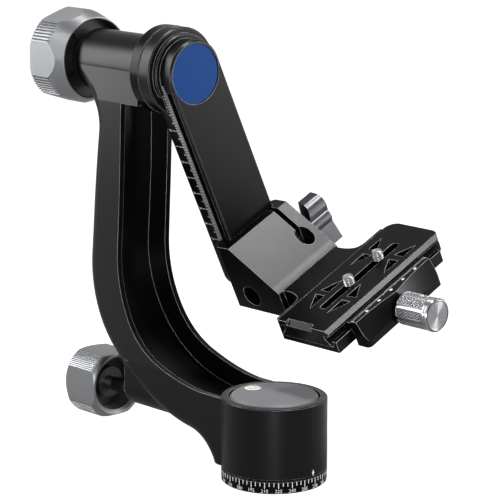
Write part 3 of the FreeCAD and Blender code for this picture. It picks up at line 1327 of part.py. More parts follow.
def clamp_jaw():
    """Moving jaw with a lip over the dovetail and two shallow finger scoops in its outer face."""
    body = new_body("clamp_jaw", SWING)
    gap = S.slide_gap
    tip = S.plate_centre + S.plate_neck + gap
    flank = JAW_LIP_BOTTOM - NECK_DROP - gap * CORNER_SHARE
    section = [
        (S.jaw_back, -JAW_TOP), (S.jaw_front, -JAW_TOP), (S.jaw_front, -JAW_BOTTOM),
        (S.jaw_back, -JAW_BOTTOM), (S.jaw_back, -JAW_LIP_BOTTOM), (tip + flank, -JAW_LIP_BOTTOM),
        (tip, -JAW_LIP_BOTTOM + flank), (tip, -(SLAB_DROP + gap)), (S.jaw_back, -(SLAB_DROP + gap))]
    prism(body, "XZ_Plane", [section], -S.jaw_half, S.jaw_half)
    soften(body, "Fillet", S.jaw_corner, lambda middle, edge: near(middle.x, S.jaw_front)
           and near(abs(middle.y), S.jaw_half))
    for side in (-1, 1):
        # The scoop is a ball but for a short straight start beside the axis.
        scoop = [(-S.scoop_radius, 0), (-S.scoop_radius, S.edge), (0, S.scoop_radius + S.edge, ARC),
                 (S.scoop_radius, S.edge, ARC), (S.scoop_radius, 0)]
        turned(body, "Z", scoop, (S.scoop_x, S.scoop_half * side, -SCOOP_DROP), cut=True)
    prism(body, "YZ_Plane", [(0, -SCREW_DROP, S.screw_radius + S.free_gap)],
          S.jaw_back, S.jaw_front, cut=True)
    pins = [(S.pin_half * side, -PIN_DROP, PIN_BORE) for side in (-1, 1)]
    prism(body, "YZ_Plane", pins, S.jaw_back, S.pin_end + S.free_gap, cut=True)
    return body


def clamp_knob():
    """Clamp knob with round grooves between its knurled sectors."""
    body = new_body("clamp_knob", SWING)
    at = (0, 0, -SCREW_DROP)
    bore = S.screw_radius + S.seat_gap
    flange = S.grip_end - S.grip_flange_width
    bevel = S.grip_flange - S.grip_face
    socket = S.grip_end - S.grip_cover
    turned(body, "X", [
        (S.grip_front, bore), (S.grip_front, S.grip_radius - S.edge), (S.grip_front + S.edge, S.grip_radius),
        (flange, S.grip_radius), (flange + S.free_gap, S.grip_flange), (S.grip_end - bevel, S.grip_flange),
        (S.grip_end, S.grip_face), (S.grip_end, 0), (socket, 0), (socket, bore)], at)
    grooves = []
    for number in range(int(S.grip_grooves.value)):
        turn = Size(number) * 360 / S.grip_grooves
        reach = S.grip_groove_circle
        grooves.append((reach * cosine(turn), reach * sine(turn) - SCREW_DROP, S.grip_groove_radius))
    prism(body, "YZ_Plane", grooves, S.grip_front, flange, cut=True)
    return body


def clamp_washer():
    """Washer between clamp knob and jaw."""
    return plain_ring("clamp_washer", SWING, "X", S.jaw_front + S.slide_gap, S.grip_front - S.seat_gap,
                      S.screw_radius + S.seat_gap, S.grip_washer, (0, 0, -SCREW_DROP))


def clamp_screw():
    """Screw fixed in the clamp knob and threaded into the clamp base."""
    socket = S.grip_end - S.grip_cover - S.seat_gap
    return plain_ring("clamp_screw", SWING, "X", S.screw_tip, socket, 0, S.screw_radius,
                      (0, 0, -SCREW_DROP))


# ---- wing knob ----------------------------------------------------------------------------------

def wing_knob():
    """Hub with two curved blades, the second the first turned half round."""
    body = new_body("wing_knob", SWING)
    at = (S.wing_x, 0, -WING_DROP)
    half = points("wing", 0, 0, 3)
    half[0] += (ARC,)
    other = [(-corner[0], -corner[1]) + corner[2:] for corner in half]
    blades = half + other
    prism(body, "XZ_Plane", [blades], S.wing_foot, S.wing_top, at, S.wing_angle)
    reach = S.wing_1_x + S.wing_neck
    slope = (S.wing_tip - S.wing_foot) / (S.wing_1_x - S.wing_neck)
    turned(body, "Y", [(S.wing_foot - 1, S.wing_neck), (S.wing_foot, S.wing_neck),
                       (S.wing_foot + slope * (reach - S.wing_neck), reach), (S.wing_foot - 1, reach)],
           at, cut=True)
    hub_top = S.wing_top - S.edge
    turned(body, "Y", ring("Y", S.cradle_far + S.free_gap, hub_top, 0, S.wing_neck), at)
    bore = S.wing_bolt + S.seat_gap
    bore_end = hub_top - S.wing_cover
    turned(body, "Y", [(S.cradle_far, 0), (S.cradle_far, bore), (bore_end, bore), (bore_end, 0)],
           at, cut=True)
    return body


def wing_knob_bolt():
    """Bolt of the wing knob, across the slit of the bracket."""
    top = S.wing_top - S.edge - S.wing_cover - S.seat_gap
    return plain_ring("wing_knob_bolt", SWING, "Y", S.wing_bolt_end, top, 0, S.wing_bolt,
                      (S.wing_x, 0, -WING_DROP))


# ---- sub-parts ----------------------------------------------------------------------------------

SUBPARTS = [
    pan_base(), tripod_insert(), pan_spindle(), *spindle_screws(), *pan_bearings(), spindle_nut(),
    j_arm(), hub_cap(), bubble_level(), housing_collar(), *tilt_bearings(), pan_lock_bush(),
    pan_lock_shoe(), pan_lock_rod(), lock_knob("pan", LOCK, (ARC,)), pan_lock_core(),
    tilt_axle(), axle_screw(), friction_washer(), swing_arm(), arm_disc(),
    tilt_thrust_washer(), lock_knob("tilt", HOUSING), tilt_lock_core(), tilt_lock_nut(),
    cradle_bracket(), *clamp_guide_pins(), wing_knob(), wing_knob_bolt(),
    clamp_jaw(), clamp_knob(), clamp_washer(), clamp_screw(), lens_plate(),
    *lens_screw("near", S.near_screw), *lens_screw("far", S.far_screw),
]


def check_and_write():
    """Stop at any failed object or bad shape, then write one file for each sub-part."""
    doc.recompute()
    for thing in doc.Objects:
        if "Invalid" in thing.State or "Error" in thing.State:
            raise RuntimeError("%s failed: %s" % (thing.Name, thing.State))
    for part in SUBPARTS:
        if part.Shape.isNull() or not part.Shape.isValid():
            raise RuntimeError("%s has no valid shape" % part.Label)
    os.makedirs("parts", exist_ok=True)
    for part in SUBPARTS:
        part.Shape.exportStep("parts/%s.step" % part.Label)
        print(part.Label, len(part.Shape.Solids), round(part.Shape.Volume, 1))


check_and_write()
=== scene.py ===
import math

import bmesh
import bpy
import numpy as np
from mathutils import Matrix, Vector


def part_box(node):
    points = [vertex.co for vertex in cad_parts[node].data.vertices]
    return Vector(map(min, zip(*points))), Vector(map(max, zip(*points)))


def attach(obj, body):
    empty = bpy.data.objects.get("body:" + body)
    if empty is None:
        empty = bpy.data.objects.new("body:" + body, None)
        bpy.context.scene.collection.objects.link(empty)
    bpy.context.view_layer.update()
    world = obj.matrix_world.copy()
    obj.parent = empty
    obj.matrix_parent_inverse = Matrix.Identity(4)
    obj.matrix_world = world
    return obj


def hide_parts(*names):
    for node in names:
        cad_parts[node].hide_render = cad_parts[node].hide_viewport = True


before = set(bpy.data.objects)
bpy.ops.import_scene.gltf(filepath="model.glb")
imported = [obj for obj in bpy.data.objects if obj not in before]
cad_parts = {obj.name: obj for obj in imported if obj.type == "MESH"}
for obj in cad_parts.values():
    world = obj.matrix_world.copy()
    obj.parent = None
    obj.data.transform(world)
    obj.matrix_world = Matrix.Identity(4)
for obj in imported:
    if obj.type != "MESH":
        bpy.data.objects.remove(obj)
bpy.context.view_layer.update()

MM = 0.001

# ---- places on the head, in millimetres ----------------------------------------------------------

TILT_AXIS = 209.0                  # height of the tilt axis
PAN_LOCK = 25.7                    # height of the pan lock's axis
SWING = math.radians(25.27)        # swing of the arm from straight down
DIAL_RADIUS = 28.0                 # dial and hub
DIAL_TOP = 6.8
INK = 0.04                         # printed marks stand this far off the metal
ARM_SIDE = -18.0                   # near side face of the swing arm
JAW_SCALE_X = 32.85                # line of the scale on the moving jaw
JAW_TOP = 120.45                   # drop of the jaw's top
SLOT_X = 9.9                       # screw slot of the lens plate
SCREW_AXIS = 130.8                 # drop of the clamp screw
LENS_SCREWS = {"near": -5.3, "far": 19.0}      # place of each lens screw along the slot
WING_SPOT = (-47.6, 0, 113.8)      # a point on the wing knob's axis


def on_the_head(points):
    """Points stay as they are: the pan axis frame is the row frame."""
    return np.asarray(points, float)


def on_the_swing(points):
    """Points (x, across, drop) of the swinging parts: across and drop turned about the tilt axis."""
    x, across, drop = np.moveaxis(np.asarray(points, float), -1, 0)
    y = across * math.cos(SWING) + drop * math.sin(SWING)
    z = TILT_AXIS + across * math.sin(SWING) - drop * math.cos(SWING)
    return np.stack((x, y, z), -1)


# ---- meshes ----------------------------------------------------------------------------------------

def piece(name, points, faces, body, finish, smooth=True):
    """One mesh piece from points in millimetres, riding on a body, with its finish."""
    mesh = bpy.data.meshes.new(name)
    mesh.from_pydata((np.asarray(points) * MM).tolist(), [], faces)
    work = bmesh.new()
    work.from_mesh(mesh)
    bmesh.ops.remove_doubles(work, verts=work.verts, dist=1e-7)
    bmesh.ops.dissolve_degenerate(work, edges=work.edges, dist=1e-8)
    bmesh.ops.recalc_face_normals(work, faces=work.faces)
    work.to_mesh(mesh)
    work.free()
    mesh.polygons.foreach_set("use_smooth", [smooth] * len(mesh.polygons))
    thing = bpy.data.objects.new(name, mesh)
    bpy.context.scene.collection.objects.link(thing)
    mesh.materials.append(finish)
    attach(thing, body)
    return thing


def sharpen(thing, degrees):
    """Marks the edges that turn by more than an angle as sharp."""
    mesh = thing.data
    work = bmesh.new()
    work.from_mesh(mesh)
    for edge in work.edges:
        edge.smooth = len(edge.link_faces) != 2 or edge.calc_face_angle() < math.radians(degrees)
    work.to_mesh(mesh)
    work.free()


def grid_quads(rows, columns, closed_rows=False):
    """Quads between the neighbours of rings of points; the last ring may join the first."""
    row, column = np.meshgrid(np.arange(rows if closed_rows else rows - 1), np.arange(columns), indexing="ij")
    next_row, next_column = (row + 1) % rows, (column + 1) % columns
    corners = (row * columns + column, row * columns + next_column,
               next_row * columns + next_column, next_row * columns + column)
    return np.stack(corners, -1).reshape(-1, 4).tolist()


def round_points(along, radius, sides, axis, centre):
    """Rings of a turned shape: a ring for each place along the axis, a point for each angle.

    Axis 0 is x and axis 2 points up the arm; the angle runs in the plane across it, and the radius may
    be one number for each ring or differ with the angle.
    """
    angle = np.linspace(0, math.tau, sides, endpoint=False)
    along = np.broadcast_to(np.asarray(along, float)[:, None], (len(along), sides))
    radius = np.asarray(radius, float)
    radius = radius if radius.ndim == 2 else np.broadcast_to(radius[:, None], along.shape)
    first, second = radius * np.cos(angle), radius * np.sin(angle)
    order = {0: (along, first, second), 2: (first, second, along)}[axis]
    return (np.stack(order, -1) + np.asarray(centre, float)).reshape(-1, 3)


def profile_points(profile, step):
    """Places and radii along a profile of straight runs, with points no further apart than the step."""
    along, radius = [], []
    for (a, r), (b, s) in zip(profile[:-1], profile[1:]):
        count = max(1, int(math.ceil(math.hypot(b - a, s - r) / step)))
        share = np.linspace(0, 1, count, endpoint=False)
        along.append(a + (b - a) * share)
        radius.append(r + (s - r) * share)
    along.append([profile[-1][0]])
    radius.append([profile[-1][1]])
    return np.concatenate(along), np.concatenate(radius)


def zigzag(phase):
    """0 at whole numbers, 1 half way between them, straight in between."""
    return 1 - np.abs(2 * (phase % 1) - 1)


def threaded(along, radius, sides, pitch, low, high, depth):
    """Radii of a V thread: the radius less the depth times a zigzag.

    The zigzag runs over place / pitch minus the share of a turn, so its crests climb a pitch each turn.
    It fades out over half a pitch at both ends of the threaded part.
    """
    turn = np.linspace(0, 1, sides, endpoint=False)[None, :]
    place = along[:, None]
    groove = np.clip(1.15 - 1.3 * zigzag(place / pitch - turn), 0, 1)
    fade = np.clip((place - low) / (pitch / 2), 0, 1) * np.clip((high - place) / (pitch / 2), 0, 1)
    return radius[:, None] - depth * groove * fade


# ---- finishes ---------------------------------------------------------------------------------------

def linear(colour):
    """Linear colour of an sRGB hex value."""
    parts = [int(colour[i:i + 2], 16) / 255 for i in (1, 3, 5)]
    return [c / 12.92 if c <= 0.04045 else ((c + 0.055) / 1.055) ** 2.4 for c in parts] + [1.0]


# Pale colour painted along broken corners: a painted highlight, which also stands for edge wear.
EDGE_WEAR_AND_HIGHLIGHT = linear("#dcdde0")
# Near-black painted into the bottoms of threads and knurl: painted shade in the valleys.
PAINTED_VALLEY_SHADE = linear("#0e0e0f")


def add(tree, kind, inputs=None, **settings):
    """Adds a node with its settings; each input is a value, or another node's output to link."""
    node = tree.nodes.new(kind)
    for name, value in settings.items():
        setattr(node, name, value)
    for name, value in (inputs or {}).items():
        socket = node.inputs[name]
        if isinstance(value, bpy.types.NodeSocket):
            tree.links.new(value, socket)
        else:
            socket.default_value = value
    return node


def blasted_anodised(name, colour, tone, roughness, gloss, wear_and_highlight, grain=0.5, dust=0.3):
    """Aluminium, bead-blasted and hard anodised: a fine even grain under a satin oxide skin.

    The blast pits are about 0.1 mm; they are drawn at half a millimetre, as fine as shows. The dye goes
    from colour to tone over some 20 mm. Corners are broken 0.3 mm, and a pale colour is painted along them
    as thin lines: a painted highlight for their shine, which also stands for worn oxide. Its share grows as
    the bevelled normal leaves the face's own.
    """
    material = bpy.data.materials.new(name)
    material.use_nodes = True
    tree = material.node_tree
    shader = tree.nodes["Principled BSDF"]
    place = add(tree, "ShaderNodeTexCoord").outputs["Object"]
    dye = add(tree, "ShaderNodeTexNoise", {"Vector": place, "Scale": 1 / 0.022, "Detail": 3.0})
    shade = add(tree, "ShaderNodeMix", {0: dye.outputs["Fac"], 6: linear(colour), 7: linear(tone)},
                data_type="RGBA")
    wear = add(tree, "ShaderNodeTexNoise", {"Vector": place, "Scale": 1 / 0.006, "Detail": 4.0})
    rough = add(tree, "ShaderNodeMapRange", {
        "Value": wear.outputs["Fac"], "From Min": 0.3, "From Max": 0.7,
        "To Min": roughness - 0.005, "To Max": roughness + 0.008})
    pits = add(tree, "ShaderNodeTexNoise", {"Vector": place, "Scale": 1 / (grain * MM), "Detail": 2.0})
    edge = add(tree, "ShaderNodeBevel", {"Radius": 0.32 * MM}, samples=8)
    flat = add(tree, "ShaderNodeNewGeometry").outputs["Normal"]
    turn = add(tree, "ShaderNodeVectorMath", {0: edge.outputs["Normal"], 1: flat}, operation="DOT_PRODUCT")
    # Share of the painted edge highlight and wear: grows as the bevelled normal turns away from the face's
    # own.
    wear_and_highlight_mask = add(tree, "ShaderNodeMapRange", {
        "Value": turn.outputs["Value"], "From Min": 0.985, "From Max": 0.88, "To Min": 0.0, "To Max": wear_and_highlight})
    # Base colour with the painted edge highlight and wear mixed in along the corners.
    metal = add(tree, "ShaderNodeMix", {0: wear_and_highlight_mask.outputs["Result"], 6: shade.outputs[2], 7: EDGE_WEAR_AND_HIGHLIGHT},
                data_type="RGBA")
    bump = add(tree, "ShaderNodeBump", {"Height": pits.outputs["Fac"], "Strength": dust,
                                        "Distance": 0.02 * MM, "Normal": edge.outputs["Normal"]})
    tree.links.new(metal.outputs[2], shader.inputs["Base Color"])
    tree.links.new(rough.outputs["Result"], shader.inputs["Roughness"])
    tree.links.new(bump.outputs["Normal"], shader.inputs["Normal"])
    shader.inputs["Specular IOR Level"].default_value = gloss
    return material


def turned_metal(name, colour, roughness, axis, centre=(0, 0, 0), depth=0.003, valley=(0.0, 0.001),
                 shine=0.6):
    """Bare or clear-anodised metal off a lathe: fine tool lines round its axis.

    The feed lines lie 0.05 to 0.1 mm apart and are drawn half a millimetre wide, as fine as shows.
    They are a noise of the place along the axis and the distance from it, so they run round the sides
    and round the end faces alike, and the shine is stretched across them: its tangent, the way out from
    the axis crossed with it, gets a quarter turn. Axis is the turning axis and centre a point on it, in
    millimetres. Valley is the radius of a thread's or knurl's bottom and of its crests: a painted shade
    darkens the bottom, but not the end faces, whose normal lies along the axis.
    """
    material = bpy.data.materials.new(name)
    material.use_nodes = True
    tree = material.node_tree
    shader = tree.nodes["Principled BSDF"]
    shader.inputs["Metallic"].default_value = 1.0
    surface = add(tree, "ShaderNodeTexCoord")
    place = surface.outputs["Object"]
    out = add(tree, "ShaderNodeVectorMath", {0: place, 1: [c * MM for c in centre]}, operation="SUBTRACT")
    along = add(tree, "ShaderNodeVectorMath", {0: out.outputs["Vector"], 1: axis}, operation="DOT_PRODUCT")
    round_it = add(tree, "ShaderNodeVectorMath", {0: out.outputs["Vector"], 1: axis},
                   operation="CROSS_PRODUCT")
    away = add(tree, "ShaderNodeVectorMath", {0: round_it.outputs["Vector"]}, operation="LENGTH")
    crest = add(tree, "ShaderNodeMapRange", {
        "Value": away.outputs["Value"], "From Min": valley[0] * MM, "From Max": valley[1] * MM})
    facing = add(tree, "ShaderNodeVectorMath", {0: surface.outputs["Normal"], 1: axis},
                 operation="DOT_PRODUCT")
    endways = add(tree, "ShaderNodeMath", {0: facing.outputs["Value"]}, operation="ABSOLUTE")
    end_face = add(tree, "ShaderNodeMapRange", {
        "Value": endways.outputs[0], "From Min": 0.93, "From Max": 0.97})
    # Painted shade: below the crest radius the colour goes to near-black; end faces keep the metal's colour.
    unshaded = add(tree, "ShaderNodeMath", {0: crest.outputs["Result"], 1: end_face.outputs["Result"]},
                operation="MAXIMUM")
    valley_shaded = add(tree, "ShaderNodeMix", {0: unshaded.outputs[0], 6: PAINTED_VALLEY_SHADE, 7: linear(colour)},
                data_type="RGBA")
    feed = add(tree, "ShaderNodeCombineXYZ", {"X": along.outputs["Value"], "Y": away.outputs["Value"]})
    turning = add(tree, "ShaderNodeTexNoise", {
        "Vector": feed.outputs["Vector"], "Scale": 1 / (0.5 * MM), "Detail": 2.0})
    handling = add(tree, "ShaderNodeTexNoise", {"Vector": place, "Scale": 1 / 0.008, "Detail": 3.0})
    rough = add(tree, "ShaderNodeMapRange", {
        "Value": handling.outputs["Fac"], "From Min": 0.3, "From Max": 0.7,
        "To Min": roughness - 0.02, "To Max": roughness + 0.03})
    edge = add(tree, "ShaderNodeBevel", {"Radius": 0.3 * MM}, samples=6)
    bump = add(tree, "ShaderNodeBump", {"Height": turning.outputs["Fac"], "Strength": 0.5,
                                        "Distance": depth * MM, "Normal": edge.outputs["Normal"]})
    grain = add(tree, "ShaderNodeVectorTransform", {"Vector": round_it.outputs["Vector"]},
                vector_type="VECTOR", convert_from="OBJECT", convert_to="WORLD")
    tree.links.new(valley_shaded.outputs[2], shader.inputs["Base Color"])
    tree.links.new(rough.outputs["Result"], shader.inputs["Roughness"])
    tree.links.new(bump.outputs["Normal"], shader.inputs["Normal"])
    tree.links.new(grain.outputs["Vector"], shader.inputs["Tangent"])
    shader.inputs["Anisotropic"].default_value = shine
    shader.inputs["Anisotropic Rotation"].default_value = 0.25
    return material


def moulded(name, colour, roughness, coat=0.0, gloss=0.5):
    """Moulded nylon, enamel or ink: one colour right through, with a faint 0.8 mm texture off the mould."""
    material = bpy.data.materials.new(name)
    material.use_nodes = True
    tree = material.node_tree
    shader = tree.nodes["Principled BSDF"]
    shader.inputs["IOR"].default_value = 1.5
    shader.inputs["Roughness"].default_value = roughness
    shader.inputs["Coat Weight"].default_value = coat
    shader.inputs["Specular IOR Level"].default_value = gloss
    place = add(tree, "ShaderNodeTexCoord").outputs["Object"]
    grains = add(tree, "ShaderNodeTexNoise", {"Vector": place, "Scale": 1 / (0.8 * MM), "Detail": 3.0})
    level = add(tree, "ShaderNodeMapRange", {"Value": grains.outputs["Fac"], "To Min": 0.9, "To Max": 1.1})
    tint = add(tree, "ShaderNodeHueSaturation", {"Color": linear(colour), "Value": level.outputs["Result"]})
    bump = add(tree, "ShaderNodeBump", {
        "Height": grains.outputs["Fac"], "Strength": 0.15, "Distance": 0.02 * MM})
    tree.links.new(tint.outputs["Color"], shader.inputs["Base Color"])
    tree.links.new(bump.outputs["Normal"], shader.inputs["Normal"])
    return material


ALONG_X, UPRIGHT = (1.0, 0.0, 0.0), (0.0, 0.0, 1.0)
ALONG_ARM = (0.0, math.sin(SWING), -math.cos(SWING))
ACROSS = (0.0, math.cos(SWING), math.sin(SWING))

black_casting = blasted_anodised("black_anodised_casting", "#050506", "#08080a", 0.3, 0.2, wear_and_highlight=0.8)
black_milled = blasted_anodised("black_anodised_milled", "#050506", "#070708", 0.28, 0.18,
                                grain=0.4, wear_and_highlight=0.95)
black_turned = blasted_anodised("black_anodised_turned", "#040405", "#060607", 0.25, 0.1,
                                grain=0.35, dust=0.2, wear_and_highlight=0.8)
grey_cap = blasted_anodised("grey_anodised_cap", "#68696d", "#707175", 0.42, 0.4, grain=0.4, wear_and_highlight=1.0)
silver_pan = turned_metal("silver_anodised_pan_knob", "#a0a1a4", 0.38, ALONG_X, (0, 0, PAN_LOCK))
silver_tilt = turned_metal("silver_anodised_tilt_knob", "#929396", 0.42, ALONG_X, (0, 0, TILT_AXIS))
silver_clamp = turned_metal("silver_anodised_clamp_knob", "#b0b1b4", 0.28, ALONG_X,
                            on_the_swing((0, 0, SCREW_AXIS)), valley=(8.45, 8.65), shine=0.85)
silver_milled = turned_metal("silver_anodised_wing", "#606164", 0.36, ACROSS, on_the_swing(WING_SPOT))
steel_x = turned_metal("ground_steel_shaft", "#a9abae", 0.16, ALONG_X, (0, 0, PAN_LOCK), depth=0.001)
steel_tilt = turned_metal("ground_steel_axle", "#a9abae", 0.18, ALONG_X, (0, 0, TILT_AXIS), depth=0.001)
steel_z = turned_metal("ground_steel_upright", "#a6a7a9", 0.24, UPRIGHT)
screw_steel = turned_metal("stainless_screw", "#c9c9c8", 0.3, ALONG_ARM, on_the_swing((SLOT_X, 0, 118)),
                           depth=0.001)
lens_steel = {place: turned_metal("stainless_thread_" + place, "#d2d2d0", 0.3, ALONG_ARM,
                                  on_the_swing((SLOT_X, across, 118)), depth=0.001, valley=(2.5, 3.0))
              for place, across in LENS_SCREWS.items()}
brake_brass = turned_metal("brake_brass", "#c0983f", 0.35, ALONG_X, (0, 0, PAN_LOCK))
black_nylon = moulded("black_nylon", "#0c0c0d", 0.5)
blue_enamel = moulded("blue_anodised_disc", "#0e3d7c", 0.3, gloss=0.1)
level_resin = moulded("level_resin", "#e6e7dc", 0.15, coat=0.6)
white_ink = moulded("white_screen_ink", "#e8e8e6", 0.55)
dark_ink = moulded("dark_level_ink", "#3a4038", 0.4)

FINISH = {
    "pan_base": black_turned, "tripod_insert": steel_z, "pan_spindle": steel_z, "spindle_nut": steel_z,
    "pan_bearing_lower_inner": steel_z, "pan_bearing_lower_outer": steel_z,
    "pan_bearing_upper_inner": steel_z, "pan_bearing_upper_outer": steel_z,
    "spindle_screw_1": steel_z, "spindle_screw_2": steel_z, "spindle_screw_3": steel_z,
    "j_arm": black_casting, "hub_cap": grey_cap, "bubble_level": level_resin,
    "housing_collar": black_turned,
    "tilt_bearing_rear_inner": steel_tilt, "tilt_bearing_rear_outer": steel_tilt,
    "tilt_bearing_front_inner": steel_tilt, "tilt_bearing_front_outer": steel_tilt,
    "pan_lock_bush": black_nylon, "pan_lock_shoe": brake_brass, "pan_lock_rod": steel_x,
    "pan_lock_knob": silver_pan, "pan_lock_knob_core": black_nylon,
    "tilt_axle": steel_tilt, "axle_screw": steel_tilt, "friction_washer": black_nylon,
    "swing_arm": black_casting, "arm_disc": blue_enamel, "tilt_thrust_washer": steel_tilt,
    "tilt_lock_knob": silver_tilt, "tilt_lock_knob_core": black_nylon, "tilt_lock_nut": steel_tilt,
    "cradle_bracket": black_milled, "clamp_guide_pin_near": steel_x, "clamp_guide_pin_far": steel_x,
    "wing_knob": silver_milled, "wing_knob_bolt": screw_steel, "clamp_jaw": black_milled,
    "clamp_knob": silver_clamp, "clamp_washer": steel_x, "clamp_screw": steel_x,
    "lens_plate": black_milled,
    "lens_screw_washer_near": screw_steel, "lens_screw_near": screw_steel,
    "lens_screw_washer_far": screw_steel, "lens_screw_far": screw_steel,
}
for node, finish in FINISH.items():
    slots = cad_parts[node].data.materials
    slots.clear()
    slots.append(finish)


# ---- printed scales ----------------------------------------------------------------------------------

def marks(boxes, at, place):
    """Flat printed marks as thin boxes: each is (low, high) on the face, given a thickness of ink.

    Corner k of a box takes low or high of each side by k's binary digits; at turns (along, up, out)
    on the face into a point, and place turns that into the row frame.
    """
    low, high = np.moveaxis(np.asarray(boxes, float), 1, 0)
    bits = (np.arange(8)[:, None] >> np.arange(3)) & 1
    corners = np.where(bits[None], np.append(high, np.full((len(high), 1), INK), 1)[:, None],
                       np.append(low, np.full((len(low), 1), -INK), 1)[:, None])
    sides = np.array([(0, 2, 3, 1), (4, 5, 7, 6), (0, 1, 5, 4), (2, 6, 7, 3), (0, 4, 6, 2), (1, 3, 7, 5)])
    faces = (sides[None] + 8 * np.arange(len(low))[:, None, None]).reshape(-1, 4)
    return place(at(corners.reshape(-1, 3))), faces.tolist()


def figures(text, height, along, up):
    """Corners and faces of a printed number: a filled font outline of that height, centred at a point."""
    words = bpy.data.curves.new("number", "FONT")
    words.body = text
    words.size = height / 0.72
    words.align_x = "CENTER"
    words.resolution_u = 2
    words.extrude = INK
    holder = bpy.data.objects.new("number", words)
    bpy.context.scene.collection.objects.link(holder)
    mesh = bpy.data.meshes.new_from_object(holder)
    flat = np.empty(len(mesh.vertices) * 3)
    mesh.vertices.foreach_get("co", flat)
    faces = [list(face.vertices) for face in mesh.polygons]
    bpy.data.objects.remove(holder)
    bpy.data.meshes.remove(mesh)
    bpy.data.curves.remove(words)
    return flat.reshape(-1, 3) + [along, up - height / 2, 0], faces


def print_scale(name, ticks, numbers, at, place, body):
    """One printed scale: its ticks and its numbers in one piece of ink."""
    points, faces = marks(ticks, at, place)
    points, count = [points], len(points)
    for text, height, along, up in numbers:
        more, sides = figures(text, height, along, up)
        points.append(place(at(more)))
        faces += [[corner + count for corner in side] for side in sides]
        count += len(more)
    return piece(name, np.concatenate(points), faces, body, white_ink, smooth=False)


def round_the_dial(points):
    """Along the dial is an arc, up is height, out is radius: angle = along / radius."""
    along, up, out = np.moveaxis(np.asarray(points, float), -1, 0)
    angle = along / DIAL_RADIUS
    return np.stack(((DIAL_RADIUS + out) * np.cos(angle), (DIAL_RADIUS + out) * np.sin(angle), up), -1)


def dial_scale():
    """A tick each 5 degrees, longer with a number each 15; the numbers grow anticlockwise from above.

    The zero lies 264 degrees back from the row frame's x, as the dial stands on the base.
    """
    degree = math.radians(1) * DIAL_RADIUS
    zero = -264 * degree
    ticks = []
    for step in range(0, 360, 5):
        low = DIAL_TOP - (3.8 if step % 15 == 0 else 2.7)
        middle = zero + step * degree
        ticks.append(((middle - 0.22, low), (middle + 0.22, DIAL_TOP - 0.6)))
    numbers = [(str(step), 1.9, zero + step * degree, 1.7) for step in range(0, 360, 15)]
    return print_scale("dial_scale", ticks, numbers, round_the_dial, on_the_head, "stand")


def pan_index():
    """The white diamond on the hub that the dial is read against: a thin four-cornered plate."""
    middle, height = math.radians(2.7) * DIAL_RADIUS, 9.2
    outline = np.array([(-0.75, 0), (0, -1.7), (0.75, 0), (0, 1.7)]) + (middle, height)
    points = [(x, y, out) for out in (-INK, INK) for x, y in outline]
    faces = [[3, 2, 1, 0], [4, 5, 6, 7]] + [[k, (k + 1) % 4, (k + 1) % 4 + 4, k + 4] for k in range(4)]
    return piece("pan_index", round_the_dial(points), faces, "arm", white_ink, smooth=False)


def on_the_arm_side(points):
    """Along is down the arm, up is toward its front, out is off its near side."""
    along, up, out = np.moveaxis(np.asarray(points, float), -1, 0)
    return np.stack((up, ARM_SIDE - out, along), -1)


def arm_scale():
    """Millimetre ticks down the side of the swing arm, longer each 5 and 10, numbered 0 to 7.

    The row starts 28 ticks above the zero, with one long tick.
    """
    front, start, first, last = -67.3, 26.3, -28, 70
    ticks = []
    for step in range(first, last + 1):
        reach = 6.4 if step % 10 == 0 and step >= 0 else 4.6 if step % 5 == 0 else 3.0
        if step == first:
            reach = 6.0
        ticks.append(((start + step - 0.16, front - reach), (start + step + 0.16, front)))
    numbers = [(str(step), 2.3, start + 10 * step, front - 8.0) for step in range(8)]
    return print_scale("arm_scale", ticks, numbers, on_the_arm_side, on_the_swing, "swing")


def on_the_jaw(points):
    """Along is across the clamp, up is toward the jaw's outer face, out is off its top."""
    along, up, out = np.moveaxis(np.asarray(points, float), -1, 0)
    return np.stack((up, along, JAW_TOP - out), -1)


def jaw_scale():
    """Millimetre ticks along the jaw's inner edge, longer each 5 and 10, with a mark beside each tenth."""
    ticks = []
    for step in range(-30, 31):
        reach = 1.5 if step % 10 == 0 else 1.1 if step % 5 == 0 else 0.8
        ticks.append(((step - 0.13, JAW_SCALE_X - 0.6), (step + 0.13, JAW_SCALE_X - 0.6 + reach)))
    ticks += [((step - 0.8, JAW_SCALE_X + 1.1), (step + 0.8, JAW_SCALE_X + 2.3))
              for step in range(-20, 21, 10)]
    return print_scale("jaw_scale", ticks, [], on_the_jaw, on_the_swing, "jaw")


dial_scale()
pan_index()
arm_scale()
jaw_scale()


# ---- threads, knurl and level ---------------------------------------------------------------------------

def lens_screw(place, across):
    """A lens screw: slotless head, thin neck and a threaded stud, turned about the axis up the arm."""
    top = -113.0
    profile = [(-127.2, 0), (-127.2, 4.6), (-126.8, 5.2), (-124.9, 5.2), (-124.55, 4.9), (-124.55, 2.3),
               (-118.1, 2.3), (-118.1, 2.75), (-117.7, 3.1), (top - 0.6, 3.1), (top, 2.5), (top, 0)]
    along, radius = profile_points(profile, 0.12)
    sides = 48
    radii = threaded(along, radius, sides, 1.27, -118.0, top - 0.2, 0.5)
    radii = np.where((along[:, None] > -118.05) & (radius[:, None] > 2.6), radii, radius[:, None])
    points = round_points(-along, radii, sides, 2, (SLOT_X, across, 0))
    thing = piece("screw_thread_" + place, on_the_swing(points), grid_quads(len(along), sides),
                  "stud_" + place, lens_steel[place])
    sharpen(thing, 35)
    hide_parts("lens_screw_" + place)


